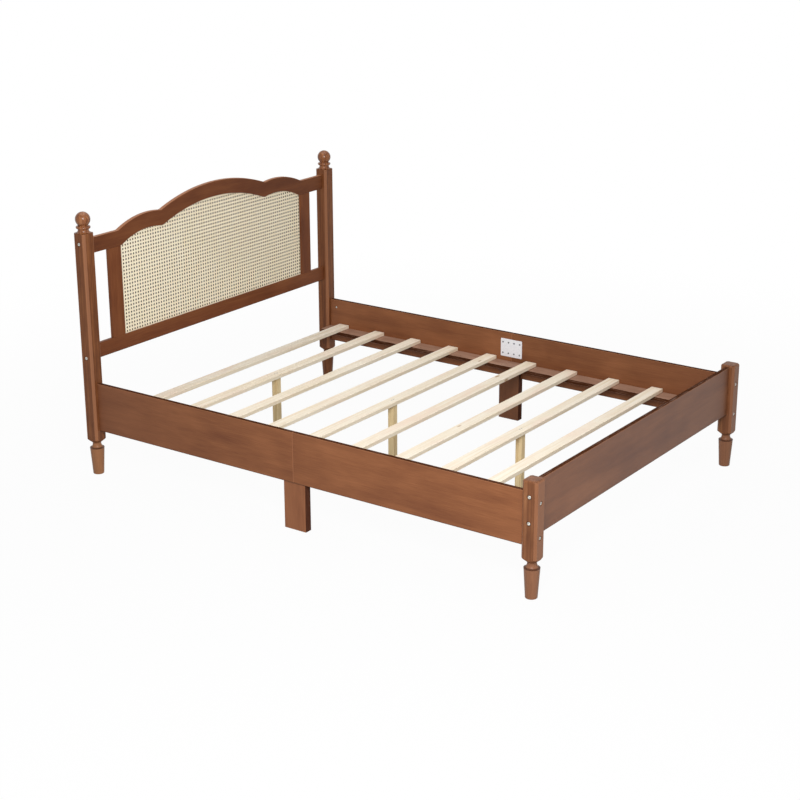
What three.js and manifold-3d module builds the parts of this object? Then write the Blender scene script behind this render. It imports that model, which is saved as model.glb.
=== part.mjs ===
// A rattan headboard bed: turned corner posts, a shaped headboard with a woven cane panel,
// side rails in two halves, a plain footboard and a base of loose slats.
// Millimetres, +Z up, +Y towards the headboard, -X on the left of someone who stands at the
// foot and looks at the headboard. The origin is on the floor under the middle of the bed.

import * as THREE from 'three';
import { mergeVertices } from 'three/addons/utils/BufferGeometryUtils.js';
import Module from 'manifold-3d';

const wasm = await Module();
wasm.setup();

// Clearances
const FIT = 0.3; // between pieces that meet
const BOLT_CLEARANCE = 0.5; // round a bolt's shank in its hole
const SLAT_END_GAP = 3; // between a slat's end and the side rail

// Posts
const CLEAR_WIDTH = 1508; // between the posts, across the bed
const CLEAR_LENGTH = 2041; // between the posts, along the bed
const POST_SIZE = 62;
const POST_CHAMFER = 9; // on the posts' four long corners
const HEAD_POST_TOP = 1025;
const FOOT_POST_TOP = 448;
const FOOT_POST_EASE = 9; // rounding of the foot posts' top edges

// The turned foot of each post, heights from the floor
const SOLE_DIAMETER = 45;
const SOLE_EDGE = 2;
const RIM_DIAMETER = 60;
const RIM_HEIGHT = 114;
const RIM_EDGE = 1; // upright lip of the rim
const HOLLOW_HEIGHT = 20; // of the hollow between the rim and the neck
const NECK_DIAMETER = 35;
const NECK_ROUND = 5; // radius from the neck out to the sloped shoulder
const SHOULDER_SLOPE = 40; // degrees from level

// Finials, from the top of the head posts upwards
const FINIAL_BASE_DIAMETER = 60;
const FINIAL_BASE_EDGE = 2; // upright edge of the base
const FINIAL_COVE_HEIGHT = 12;
const FINIAL_COVE_DIAMETER = 44;
const FINIAL_FILLET_HEIGHT = 3; // upright stretch between the cove and the ring
const FINIAL_RING_HEIGHT = 12;
const FINIAL_RING_DIAMETER = 59;
const FINIAL_NECK_HEIGHT = 3.1;
const FINIAL_NECK_DIAMETER = 40;
const FINIAL_BALL_DIAMETER = 61;
const SPIGOT_DIAMETER = 12;
const SPIGOT_LENGTH = 28;

// Headboard frame
const FRAME_THICKNESS = 18;
const CREST_DEPTH = 65; // depth of the crest rail, square to its curve
const SHOULDER_DROP = 25; // from the post's top down to the crest's straight ends
const CENTRE_ARCH_RISE = 100; // above the crest's straight ends
const CENTRE_ARCH_RADIUS = 954;
const SIDE_ARCH_RISE = 43;
const SIDE_ARCH_RADIUS = 420;
const SIDE_ARCH_OFFSET = 413; // from the middle of the bed to a side arch's middle
const STILE_SLOT = 95; // open slot between a post and its stile
const STILE_WIDTH = 70;
const BOTTOM_RAIL_BASE = 495; // underside of the headboard's bottom rail
const BOTTOM_RAIL_HEIGHT = 62;
const TENON_THICKNESS = 8;
const TENON_LENGTH = 20;
const TENON_SHOULDER = 10; // from a stile's outer edge in to its tenon
const TENON_WALL = 2; // wood between the tenon and the groove for the panel
const EDGE_EASE = 2; // small chamfer on the long edges of boards

// Cane panel and the board behind it
const PANEL_RECESS = 8.5; // from the frame's front face back to the cane
const CANE_THICKNESS = 1.8;
const BACKING_THICKNESS = 4;
const GROOVE_DEPTH = 8;

// Side rails and footboard
const RAIL_THICKNESS = 20;
const SIDE_RAIL_BASE = 195;
const SIDE_RAIL_HEIGHT = 204;
const FOOTBOARD_BASE_RISE = 39; // the footboard's underside above the side rails'
const FOOTBOARD_TOP_RISE = 40; // the footboard's top above the side rails'

// Joining plates over the side rails' seams
const PLATE_LENGTH = 110;
const PLATE_HEIGHT = 82;
const PLATE_THICKNESS = 2.5;
const PLATE_CORNER = 4;
const PLATE_MIDDLE_RISE = 135; // above the side rails' underside
const PLATE_HOLE_DIAMETER = 5;
const PLATE_HOLE_COLUMNS = 4;
const PLATE_HOLE_PITCH = 29;
const PLATE_HOLE_ROW_GAP = 50;

// Middle side legs
const MIDDLE_LEG_WIDTH = 103;
const MIDDLE_LEG_THICKNESS = 33;
const MIDDLE_LEG_SETBACK = 5; // from the rail's outer face in to the leg

// Slats, ledgers and centre legs
const SLAT_COUNT = 9;
const SLAT_WIDTH = 53;
const SLAT_THICKNESS = 16;
const SLAT_TOP_RISE = 90; // the slats' top above the side rails' underside
const SLAT_EASE = 1.5;
const HEAD_SLAT_SETBACK = 84; // from the head posts to the first slat's middle
const FOOT_SLAT_SETBACK = 290; // from the foot posts to the last slat's middle
const LEDGER_WIDTH = 75;
const LEDGER_THICKNESS = 18;
const LEDGER_HOLE_DIAMETER = 6;
const LEDGER_HOLE_INSET = 15; // from the ledger's free edge
const LEDGER_HOLE_PITCH = 220;
const LEDGER_HOLE_COUNT = 4;
const HEAD_LEDGER_FIRST_HOLE = 13; // from the seam at the middle of the bed
const FOOT_LEDGER_FIRST_HOLE = 52;
const CENTRE_LEG_SIZE = 28;
const CENTRE_LEG_SLATS = { head: 1, middle: 4, foot: 7 }; // counted from the head, from 0

// Rail bolts with their barrel nuts
const BOLT_DIAMETER = 6;
const BOLT_HEAD_DIAMETER = 13;
const BOLT_HEAD_HEIGHT = 5;
const BOLT_SOCKET = 5; // across the flats of the hexagon
const BOLT_SOCKET_DEPTH = 3;
const BOLT_TIP = 9; // how far a bolt reaches past its nut's middle
const COUNTERBORE_DIAMETER = 18;
const COUNTERBORE_DEPTH = 6.5;
const NUT_DIAMETER = 11;
const NUT_LENGTH = 14;
const NUT_SETBACK = 34; // from a rail's end to its nut's middle
const CREST_BOLT_DROP = 18; // from the crest's straight top edge
const BOTTOM_RAIL_BOLT_RISE = 12; // from the bottom rail's underside
const SIDE_BOLT_INSET = 37; // from a side rail's top and underside
const FOOTBOARD_BOLT_UPPER_RISE = 25; // above the side rail's upper bolt
const FOOTBOARD_BOLT_LOWER_RISE = 57; // above the side rail's lower bolt

// Screws through the slats into the centre legs
const SCREW_DIAMETER = 4;
const SCREW_HEAD_DIAMETER = 8;
const SCREW_HEAD_HEIGHT = 3;
const SCREW_LENGTH = 46;
const SCREW_SPACING = 14;

// Facets of round forms
const TURNED_SIDES = 20;
const HOLE_SIDES = 8;
const COUNTERBORE_SIDES = 12;
const CENTRE_ARCH_STEPS = 18;
const SIDE_ARCH_STEPS = 8;
const ROUND_STEPS = 4;
const BALL_STEPS = 8;

// How far a cutting solid reaches past the face that it cuts
const CUT_OVERSHOOT = 1;

// Places that follow from the sizes above
const POST_X = (CLEAR_WIDTH + POST_SIZE) / 2;
const POST_Y = (CLEAR_LENGTH + POST_SIZE) / 2;
const NECK_LEVEL = RIM_HEIGHT + RIM_EDGE + HOLLOW_HEIGHT;
const CREST_TOP = HEAD_POST_TOP - SHOULDER_DROP;
const STILE_OUTER = CLEAR_WIDTH / 2 - STILE_SLOT;
const STILE_INNER = STILE_OUTER - STILE_WIDTH;
const BOTTOM_RAIL_TOP = BOTTOM_RAIL_BASE + BOTTOM_RAIL_HEIGHT;
const CANE_FRONT = -FRAME_THICKNESS / 2 + PANEL_RECESS;
const CANE_BACK = CANE_FRONT + CANE_THICKNESS;
const BACKING_FRONT = CANE_BACK + FIT;
const BACKING_BACK = BACKING_FRONT + BACKING_THICKNESS;
const SIDE_RAIL_TOP = SIDE_RAIL_BASE + SIDE_RAIL_HEIGHT;
const FOOTBOARD_BASE = SIDE_RAIL_BASE + FOOTBOARD_BASE_RISE;
const FOOTBOARD_TOP = SIDE_RAIL_TOP + FOOTBOARD_TOP_RISE;
const SLAT_TOP = SIDE_RAIL_BASE + SLAT_TOP_RISE;
const LEDGER_TOP = SLAT_TOP - SLAT_THICKNESS;
const LEDGER_BASE = LEDGER_TOP - LEDGER_THICKNESS;
const SLAT_LENGTH = 2 * (POST_X - RAIL_THICKNESS / 2 - SLAT_END_GAP);
const SLAT_PITCH = (CLEAR_LENGTH - HEAD_SLAT_SETBACK - FOOT_SLAT_SETBACK) / (SLAT_COUNT - 1);
const SIDE_BOLTS = [SIDE_RAIL_BASE + SIDE_BOLT_INSET, SIDE_RAIL_TOP - SIDE_BOLT_INSET];
const FOOTBOARD_BOLTS = [
  SIDE_BOLTS[0] + FOOTBOARD_BOLT_LOWER_RISE,
  SIDE_BOLTS[1] + FOOTBOARD_BOLT_UPPER_RISE,
];
const CREST_BOLT = CREST_TOP - CREST_BOLT_DROP;
const BOTTOM_RAIL_BOLT = BOTTOM_RAIL_BASE + BOTTOM_RAIL_BOLT_RISE;
const BOLT_HOLE_RADIUS = BOLT_DIAMETER / 2 + BOLT_CLEARANCE;
const NUT_HOLE_RADIUS = NUT_DIAMETER / 2 + FIT;
const BOLT_REACH = POST_SIZE - COUNTERBORE_DEPTH + 2 * FIT + NUT_SETBACK;

const walnut = new THREE.MeshStandardMaterial({ color: 0x7c4f37, roughness: 0.45, flatShading: true });
const cane = new THREE.MeshStandardMaterial({ color: 0xe3d6b8, roughness: 0.7, flatShading: true });
const backing = new THREE.MeshStandardMaterial({ color: 0x4a2f20, roughness: 0.8, flatShading: true });
const palePine = new THREE.MeshStandardMaterial({ color: 0xeee0c8, roughness: 0.65, flatShading: true });
const tanPine = new THREE.MeshStandardMaterial({ color: 0xc9ae7c, roughness: 0.7, flatShading: true });
const steel = new THREE.MeshStandardMaterial({
  color: 0xd4d4d2,
  roughness: 0.35,
  metalness: 0.8,
  flatShading: true,
});

// How an extrusion's own x, y and z turn into the bed's axes
const ALONG = {
  x: new THREE.Matrix4().makeBasis(
    new THREE.Vector3(0, 1, 0), new THREE.Vector3(0, 0, 1), new THREE.Vector3(1, 0, 0)),
  y: new THREE.Matrix4().makeBasis(
    new THREE.Vector3(1, 0, 0), new THREE.Vector3(0, 0, 1), new THREE.Vector3(0, -1, 0)),
  z: new THREE.Matrix4(),
};

// A closed triangle mesh as a solid that can be cut and joined
function solidFrom(geometry) {
  const bare = geometry.clone();
  bare.deleteAttribute('normal');
  bare.deleteAttribute('uv');
  const welded = mergeVertices(bare, 1e-4);
  const corners = [];
  for (let i = 0; i < welded.index.count; i += 3) {
    const [a, b, c] = [0, 1, 2].map((k) => welded.index.getX(i + k));
    if (a !== b && b !== c && c !== a) {
      corners.push(a, b, c);
    }
  }
  return new wasm.Manifold(new wasm.Mesh({
    numProp: 3,
    vertProperties: new Float32Array(welded.attributes.position.array),
    triVerts: new Uint32Array(corners),
  }));
}

function meshFrom(name, solid, material) {
  const { numProp, vertProperties, triVerts } = solid.getMesh();
  const geometry = new THREE.BufferGeometry();
  const places = [];
  for (let i = 0; i < vertProperties.length; i += numProp) {
    places.push(vertProperties[i], vertProperties[i + 1], vertProperties[i + 2]);
  }
  geometry.setAttribute('position', new THREE.Float32BufferAttribute(places, 3));
  geometry.setIndex(Array.from(triVerts));
  geometry.computeVertexNormals();
  const mesh = new THREE.Mesh(geometry, material);
  mesh.name = name;
  return mesh;
}

// An outline drawn square to an axis, in the other two axes in X, Y, Z order, and drawn out
// along that axis from one place to another
function extrude(axis, outline, from, to) {
  const shape = new THREE.Shape(outline.map(([u, v]) => new THREE.Vector2(u, v)));
  const low = Math.min(from, to);
  const high = Math.max(from, to);
  const geometry = new THREE.ExtrudeGeometry(shape, { depth: high - low, bevelEnabled: false });
  geometry.translate(0, 0, axis === 'y' ? -high : low);
  geometry.applyMatrix4(ALONG[axis]);
  return solidFrom(geometry);
}

function rectangle(u0, u1, v0, v1, ease = 0) {
  const [left, right] = [Math.min(u0, u1), Math.max(u0, u1)];
  const [low, high] = [Math.min(v0, v1), Math.max(v0, v1)];
  if (ease === 0) {
    return [[left, low], [right, low], [right, high], [left, high]];
  }
  return [
    [left + ease, low], [right - ease, low], [right, low + ease], [right, high - ease],
    [right - ease, high], [left + ease, high], [left, high - ease], [left, low + ease],
  ];
}

function circle(radius, sides, u = 0, v = 0) {
  return Array.from({ length: sides }, (_, i) => {
    const angle = (2 * Math.PI * i) / sides;
    return [u + radius * Math.cos(angle), v + radius * Math.sin(angle)];
  });
}

// Points of an arc about a centre, angles in degrees
function arc(centreU, centreV, radiusU, radiusV, start, end, steps) {
  return Array.from({ length: steps + 1 }, (_, i) => {
    const angle = THREE.MathUtils.degToRad(start + ((end - start) * i) / steps);
    return [centreU + radiusU * Math.cos(angle), centreV + radiusV * Math.sin(angle)];
  });
}

// A turned form about the Z axis, from a profile of radius and height that starts and ends on it
function turn(profile, sides = TURNED_SIDES) {
  const points = profile.map(([radius, height]) => new THREE.Vector2(radius, height));
  const geometry = new THREE.LatheGeometry(points, sides);
  geometry.rotateX(Math.PI / 2);
  return solidFrom(geometry);
}

// Height of a circular arch at a distance from its middle, inset square to its curve
function archHeight(distance, apex, radius, inset) {
  return apex - radius + Math.sqrt(Math.max((radius - inset) ** 2 - distance ** 2, 0));
}

function centreArch(x, inset) {
  return archHeight(x, CREST_TOP + CENTRE_ARCH_RISE, CENTRE_ARCH_RADIUS, inset);
}

function sideArch(x, inset) {
  const distance = Math.abs(x) - SIDE_ARCH_OFFSET;
  return archHeight(distance, CREST_TOP + SIDE_ARCH_RISE, SIDE_ARCH_RADIUS, inset);
}

function crestLine(x, inset) {
  return Math.max(centreArch(x, inset), sideArch(x, inset), CREST_TOP - inset);
}

// Where a falling difference passes zero, found by halving the stretch
function crossing(difference, low, high) {
  const halvings = 40;
  let [near, far] = [low, high];
  for (let i = 0; i < halvings; i += 1) {
    const middle = (near + far) / 2;
    if (difference(middle) > 0) {
      near = middle;
    } else {
      far = middle;
    }
  }
  return near;
}

function spread(from, to, steps) {
  return Array.from({ length: steps }, (_, i) => from + ((to - from) * i) / steps);
}

// The crest's top edge, or a line that lies inset from it, from one side of the bed to the other
function crestCurve(halfWidth, inset) {
  const cusp = crossing((x) => centreArch(x, inset) - sideArch(x, inset), 0, SIDE_ARCH_OFFSET);
  const archEnd = crossing(
    (x) => sideArch(x, inset) - (CREST_TOP - inset),
    SIDE_ARCH_OFFSET,
    SIDE_ARCH_OFFSET + SIDE_ARCH_RADIUS);
  const places = [
    -halfWidth,
    ...spread(-archEnd, -cusp, SIDE_ARCH_STEPS),
    ...spread(-cusp, cusp, CENTRE_ARCH_STEPS),
    ...spread(cusp, archEnd, SIDE_ARCH_STEPS),
    archEnd,
    halfWidth,
  ];
  const inside = places.filter((x, i) => Math.abs(x) < halfWidth || i === 0 || i === places.length - 1);
  return inside.map((x) => [x, crestLine(x, inset)]);
}

// The cane's outline, grown past the frame's inner edges by a margin
function panelOutline(margin) {
  const halfWidth = STILE_INNER + margin;
  const base = BOTTOM_RAIL_TOP - margin;
  return [[-halfWidth, base], ...crestCurve(halfWidth, CREST_DEPTH - margin), [halfWidth, base]];
}

function panelGroove() {
  return extrude('y', panelOutline(GROOVE_DEPTH), CANE_FRONT - FIT, BACKING_BACK + FIT);
}

// A stile's tenon, or with a clearance the mortise for it
function stileTenon(side, from, to, clearance) {
  const inner = side * (STILE_INNER + GROOVE_DEPTH + TENON_WALL - clearance);
  const outer = side * (STILE_OUTER - TENON_SHOULDER + clearance);
  const half = TENON_THICKNESS / 2 + clearance;
  return extrude('z', rectangle(inner, outer, -half, half), from, to);
}

function upperMortiseTop() {
  return CREST_TOP - CREST_DEPTH + TENON_LENGTH;
}

function lowerMortiseBase() {
  return BOTTOM_RAIL_TOP - TENON_LENGTH;
}

// The holes for a bolt and its barrel nut in the end of a rail. The nut goes in from one face.
function boltSockets({ axis, nutAxis, end, inward, height, nutFace }) {
  const toNut = end + inward * NUT_SETBACK;
  const bore = extrude(
    axis,
    circle(BOLT_HOLE_RADIUS, HOLE_SIDES, 0, height),
    end - inward * CUT_OVERSHOOT,
    toNut + inward * (BOLT_TIP + FIT));
  const nutHole = extrude(
    nutAxis,
    circle(NUT_HOLE_RADIUS, HOLE_SIDES, toNut, height),
    -Math.sign(nutFace) * (NUT_LENGTH / 2 + FIT),
    nutFace + Math.sign(nutFace) * CUT_OVERSHOOT);
  return bore.add(nutHole);
}

// The square blank of a post, turned in to a round neck at its lower end
function postShaft(top) {
  const half = POST_SIZE / 2;
  const neck = NECK_DIAMETER / 2;
  const blank = extrude('z', rectangle(-half, half, -half, half, POST_CHAMFER), NECK_LEVEL, top);
  const beyond = Math.hypot(half, half - POST_CHAMFER) + CUT_OVERSHOOT;
  const round = arc(
    neck + NECK_ROUND, NECK_LEVEL, NECK_ROUND, NECK_ROUND, 180, 90 + SHOULDER_SLOPE, ROUND_STEPS);
  const [slopeRadius, slopeBase] = round[ROUND_STEPS];
  const slopeRise = (beyond - slopeRadius) * Math.tan(THREE.MathUtils.degToRad(SHOULDER_SLOPE));
  return blank.intersect(turn([
    [0, NECK_LEVEL - CUT_OVERSHOOT],
    [neck, NECK_LEVEL - CUT_OVERSHOOT],
    ...round,
    [beyond, slopeBase + slopeRise],
    [beyond, top + CUT_OVERSHOOT],
    [0, top + CUT_OVERSHOOT],
  ]));
}

// The tapered foot below the neck. It runs a little way up into the shaft.
function turnedFoot() {
  const neck = NECK_DIAMETER / 2;
  const rim = RIM_DIAMETER / 2;
  return turn([
    [0, 0],
    [SOLE_DIAMETER / 2 - SOLE_EDGE, 0],
    [SOLE_DIAMETER / 2, SOLE_EDGE],
    [rim, RIM_HEIGHT],
    ...arc(rim, NECK_LEVEL, rim - neck, HOLLOW_HEIGHT, 270, 180, ROUND_STEPS),
    [neck, NECK_LEVEL + CUT_OVERSHOOT],
    [0, NECK_LEVEL + CUT_OVERSHOOT],
  ]);
}

// The way through a post for a rail bolt that enters at the outer face
function postBoltHole({ axis, height, outward }) {
  const half = POST_SIZE / 2;
  const past = half + CUT_OVERSHOOT;
  const bore = extrude(axis, circle(BOLT_HOLE_RADIUS, HOLE_SIDES, 0, height), -past, past);
  const counterbore = extrude(
    axis,
    circle(COUNTERBORE_DIAMETER / 2, COUNTERBORE_SIDES, 0, height),
    outward * (half - COUNTERBORE_DEPTH),
    outward * past);
  return bore.add(counterbore);
}

function drilledPost(shaft, holes) {
  return holes.reduce((solid, hole) => solid.subtract(postBoltHole(hole)), shaft.add(turnedFoot()));
}

function headPost(name, side) {
  const holes = [
    ...SIDE_BOLTS.map((height) => ({ axis: 'y', height, outward: 1 })),
    { axis: 'x', height: CREST_BOLT, outward: side },
    { axis: 'x', height: BOTTOM_RAIL_BOLT, outward: side },
  ];
  const socket = extrude(
    'z',
    circle(SPIGOT_DIAMETER / 2 + FIT, TURNED_SIDES),
    HEAD_POST_TOP - SPIGOT_LENGTH - FIT,
    HEAD_POST_TOP + CUT_OVERSHOOT);
  return meshFrom(name, drilledPost(postShaft(HEAD_POST_TOP), holes).subtract(socket), walnut);
}

// The room that a foot post fills once its four top edges are rounded
function easedTop() {
  const half = POST_SIZE / 2;
  const ease = FOOT_POST_EASE;
  const section = [
    [-half, 0],
    [half, 0],
    ...arc(half - ease, FOOT_POST_TOP - ease, ease, ease, 0, 90, ROUND_STEPS),
    ...arc(ease - half, FOOT_POST_TOP - ease, ease, ease, 90, 180, ROUND_STEPS),
  ];
  return extrude('x', section, -half, half).intersect(extrude('y', section, -half, half));
}

function footPost(name, side) {
  const holes = [
    ...SIDE_BOLTS.map((height) => ({ axis: 'y', height, outward: -1 })),
    ...FOOTBOARD_BOLTS.map((height) => ({ axis: 'x', height, outward: side })),
  ];
  const shaft = postShaft(FOOT_POST_TOP).intersect(easedTop());
  return meshFrom(name, drilledPost(shaft, holes), walnut);
}

function finial(name) {
  const spigot = SPIGOT_DIAMETER / 2;
  const base = FINIAL_BASE_DIAMETER / 2;
  const neck = FINIAL_NECK_DIAMETER / 2;
  const ball = FINIAL_BALL_DIAMETER / 2;
  const ringHalf = FINIAL_RING_HEIGHT / 2;
  const coveTop = FINIAL_BASE_EDGE + FINIAL_COVE_HEIGHT;
  const ringMiddle = coveTop + FINIAL_FILLET_HEIGHT + ringHalf;
  const neckTop = ringMiddle + ringHalf + FINIAL_NECK_HEIGHT;
  const ballCentre = neckTop + Math.sqrt(ball ** 2 - neck ** 2);
  const ballStart = -THREE.MathUtils.radToDeg(Math.acos(neck / ball));
  return meshFrom(name, turn([
    [0, -SPIGOT_LENGTH],
    [spigot, -SPIGOT_LENGTH],
    [spigot, FIT],
    [base, FIT],
    ...arc(base, coveTop, base - FINIAL_COVE_DIAMETER / 2, FINIAL_COVE_HEIGHT, 270, 180, ROUND_STEPS),
    [FINIAL_COVE_DIAMETER / 2, ringMiddle - ringHalf],
    ...arc(FINIAL_RING_DIAMETER / 2 - ringHalf, ringMiddle, ringHalf, ringHalf, -90, 90, ROUND_STEPS),
    [neck, ringMiddle + ringHalf],
    ...arc(0, ballCentre, ball, ball, ballStart, 90, BALL_STEPS),
  ]), walnut);
}

function crestRail() {
  const halfWidth = CLEAR_WIDTH / 2 - FIT;
  const half = FRAME_THICKNESS / 2;
  const outline = [...crestCurve(halfWidth, 0), ...crestCurve(halfWidth, CREST_DEPTH).reverse()];
  let solid = extrude('y', outline, -half, half).subtract(panelGroove());
  for (const side of [-1, 1]) {
    const mortise = stileTenon(side, BOTTOM_RAIL_TOP, upperMortiseTop() + FIT, FIT);
    const sockets = boltSockets({
      axis: 'x', nutAxis: 'y', end: side * halfWidth, inward: -side, height: CREST_BOLT, nutFace: half,
    });
    solid = solid.subtract(mortise).subtract(sockets);
  }
  return meshFrom('crest_rail', solid, walnut);
}

function headboardBottomRail() {
  const halfWidth = CLEAR_WIDTH / 2 - FIT;
  const half = FRAME_THICKNESS / 2;
  const section = rectangle(-half, half, BOTTOM_RAIL_BASE, BOTTOM_RAIL_TOP, EDGE_EASE);
  let solid = extrude('x', section, -halfWidth, halfWidth).subtract(panelGroove());
  for (const side of [-1, 1]) {
    const mortise = stileTenon(side, lowerMortiseBase() - FIT, BOTTOM_RAIL_TOP + CUT_OVERSHOOT, FIT);
    const sockets = boltSockets({
      axis: 'x', nutAxis: 'y', end: side * halfWidth, inward: -side, height: BOTTOM_RAIL_BOLT, nutFace: half,
    });
    solid = solid.subtract(mortise).subtract(sockets);
  }
  return meshFrom('headboard_bottom_rail', solid, walnut);
}

// The space above the crest rail's lower edge, which a stile's top is cut to
function aboveCrestUnderside() {
  const halfWidth = CLEAR_WIDTH / 2;
  const curve = crestCurve(halfWidth, CREST_DEPTH + FIT);
  const ceiling = CREST_TOP + CENTRE_ARCH_RISE;
  const outline = [...curve, [halfWidth, ceiling], [-halfWidth, ceiling]];
  return extrude('y', outline, -FRAME_THICKNESS, FRAME_THICKNESS);
}

function headboardStile(name, side) {
  const half = FRAME_THICKNESS / 2;
  const section = rectangle(side * STILE_INNER, side * STILE_OUTER, -half, half, EDGE_EASE);
  const body = extrude('z', section, BOTTOM_RAIL_TOP + FIT, CREST_TOP).subtract(aboveCrestUnderside());
  const tenons = stileTenon(side, lowerMortiseBase(), upperMortiseTop(), 0);
  return meshFrom(name, body.subtract(panelGroove()).add(tenons), walnut);
}

function canePanel() {
  return meshFrom('cane_panel', extrude('y', panelOutline(GROOVE_DEPTH - FIT), CANE_FRONT, CANE_BACK), cane);
}

function caneBackingPanel() {
  const board = extrude('y', panelOutline(GROOVE_DEPTH - FIT), BACKING_FRONT, BACKING_BACK);
  return meshFrom('cane_backing_panel', board, backing);
}

function footboard() {
  const halfWidth = CLEAR_WIDTH / 2 - FIT;
  const half = RAIL_THICKNESS / 2;
  const section = rectangle(-half, half, FOOTBOARD_BASE, FOOTBOARD_TOP, EDGE_EASE);
  let solid = extrude('x', section, -halfWidth, halfWidth);
  for (const side of [-1, 1]) {
    for (const height of FOOTBOARD_BOLTS) {
      solid = solid.subtract(boltSockets({
        axis: 'x', nutAxis: 'y', end: side * halfWidth, inward: -side, height, nutFace: half,
      }));
    }
  }
  return meshFrom('footboard', solid, walnut);
}

// One half of a side rail. X is measured from the rail's middle plane.
function sideRailHalf(name, side, end) {
  const half = RAIL_THICKNESS / 2;
  const section = rectangle(-half, half, SIDE_RAIL_BASE, SIDE_RAIL_TOP, EDGE_EASE);
  const reach = end * (CLEAR_LENGTH / 2 - FIT);
  let solid = extrude('y', section, end * (FIT / 2), reach);
  for (const height of SIDE_BOLTS) {
    solid = solid.subtract(boltSockets({
      axis: 'y', nutAxis: 'x', end: reach, inward: -end, height, nutFace: -side * half,
    }));
  }
  return meshFrom(name, solid, walnut);
}

function slatLedger(name, side, end, firstHole) {
  const wall = -side * (RAIL_THICKNESS / 2 + FIT);
  const edge = -side * (RAIL_THICKNESS / 2 + LEDGER_WIDTH);
  const section = rectangle(wall, edge, LEDGER_BASE, LEDGER_TOP, EDGE_EASE / 2);
  let solid = extrude('y', section, end * (FIT / 2), end * (CLEAR_LENGTH / 2 - FIT));
  for (let i = 0; i < LEDGER_HOLE_COUNT; i += 1) {
    const x = edge + side * LEDGER_HOLE_INSET;
    const y = end * (firstHole + i * LEDGER_HOLE_PITCH);
    const hole = circle(LEDGER_HOLE_DIAMETER / 2, HOLE_SIDES, x, y);
    solid = solid.subtract(extrude('z', hole, LEDGER_BASE - CUT_OVERSHOOT, LEDGER_TOP + CUT_OVERSHOOT));
  }
  return meshFrom(name, solid, walnut);
}

function joiningPlate(name, side) {
  const face = -side * (RAIL_THICKNESS / 2 + FIT);
  const back = face - side * PLATE_THICKNESS;
  const middle = SIDE_RAIL_BASE + PLATE_MIDDLE_RISE;
  const outline = rectangle(
    -PLATE_LENGTH / 2, PLATE_LENGTH / 2, middle - PLATE_HEIGHT / 2, middle + PLATE_HEIGHT / 2, PLATE_CORNER);
  let solid = extrude('x', outline, face, back);
  for (let column = 0; column < PLATE_HOLE_COLUMNS; column += 1) {
    const y = (column - (PLATE_HOLE_COLUMNS - 1) / 2) * PLATE_HOLE_PITCH;
    for (const row of [-1, 1]) {
      const z = middle + (row * PLATE_HOLE_ROW_GAP) / 2;
      const hole = circle(PLATE_HOLE_DIAMETER / 2, HOLE_SIDES, y, z);
      solid = solid.subtract(extrude('x', hole, face + side * CUT_OVERSHOOT, back - side * CUT_OVERSHOOT));
    }
  }
  return meshFrom(name, solid, steel);
}

// Stands under the seam of a side rail and laps up behind it to the ledger
function middleLeg(name, side) {
  const outer = side * (RAIL_THICKNESS / 2 - MIDDLE_LEG_SETBACK);
  const inner = outer - side * MIDDLE_LEG_THICKNESS;
  const lap = -side * (RAIL_THICKNESS / 2 + FIT);
  const outline = [
    [outer, 0],
    [inner, 0],
    [inner, LEDGER_BASE - FIT],
    [lap, LEDGER_BASE - FIT],
    [lap, SIDE_RAIL_BASE - FIT],
    [outer, SIDE_RAIL_BASE - FIT],
  ];
  return meshFrom(name, extrude('y', outline, -MIDDLE_LEG_WIDTH / 2, MIDDLE_LEG_WIDTH / 2), walnut);
}

function slatPlace(index) {
  return CLEAR_LENGTH / 2 - HEAD_SLAT_SETBACK - index * SLAT_PITCH;
}

// The two places across the bed of the screws over a centre leg
const SCREW_PLACES = [-SCREW_SPACING / 2, SCREW_SPACING / 2];

// A countersunk screw with its head at height 0, or with a clearance the hole for it, which runs
// out through the wood's surface
function screwShape(clearance) {
  const shank = SCREW_DIAMETER / 2 + clearance;
  const head = SCREW_HEAD_DIAMETER / 2 + clearance;
  const length = SCREW_LENGTH + clearance;
  return turn([
    [0, -length],
    [shank, -length],
    [shank, -SCREW_HEAD_HEIGHT],
    [head, 0],
    [head, clearance],
    [0, clearance],
  ], HOLE_SIDES);
}

function screwHoles(solid) {
  return SCREW_PLACES.reduce((cut, x) => cut.subtract(screwShape(FIT).translate([x, 0, SLAT_TOP])), solid);
}

// X is measured from the middle of the bed, Y from the slat's middle
function slat(index) {
  const half = SLAT_WIDTH / 2;
  const section = rectangle(-half, half, LEDGER_TOP + FIT, SLAT_TOP, SLAT_EASE);
  const board = extrude('x', section, -SLAT_LENGTH / 2, SLAT_LENGTH / 2);
  const solid = Object.values(CENTRE_LEG_SLATS).includes(index) ? screwHoles(board) : board;
  const mesh = meshFrom(`slat_${index + 1}`, solid, palePine);
  mesh.position.y = slatPlace(index);
  return mesh;
}

function centreLeg(place, index) {
  const half = CENTRE_LEG_SIZE / 2;
  const post = extrude('z', rectangle(-half, half, -half, half, EDGE_EASE / 2), 0, LEDGER_TOP);
  const mesh = meshFrom(`centre_leg_${place}`, screwHoles(post), tanPine);
  mesh.position.y = slatPlace(index);
  return mesh;
}

function slatScrews(place, index) {
  return SCREW_PLACES.map((x, i) => {
    const mesh = meshFrom(`slat_screw_${place}_${i + 1}`, screwShape(0), steel);
    mesh.position.set(x, slatPlace(index), SLAT_TOP);
    return mesh;
  });
}

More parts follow.
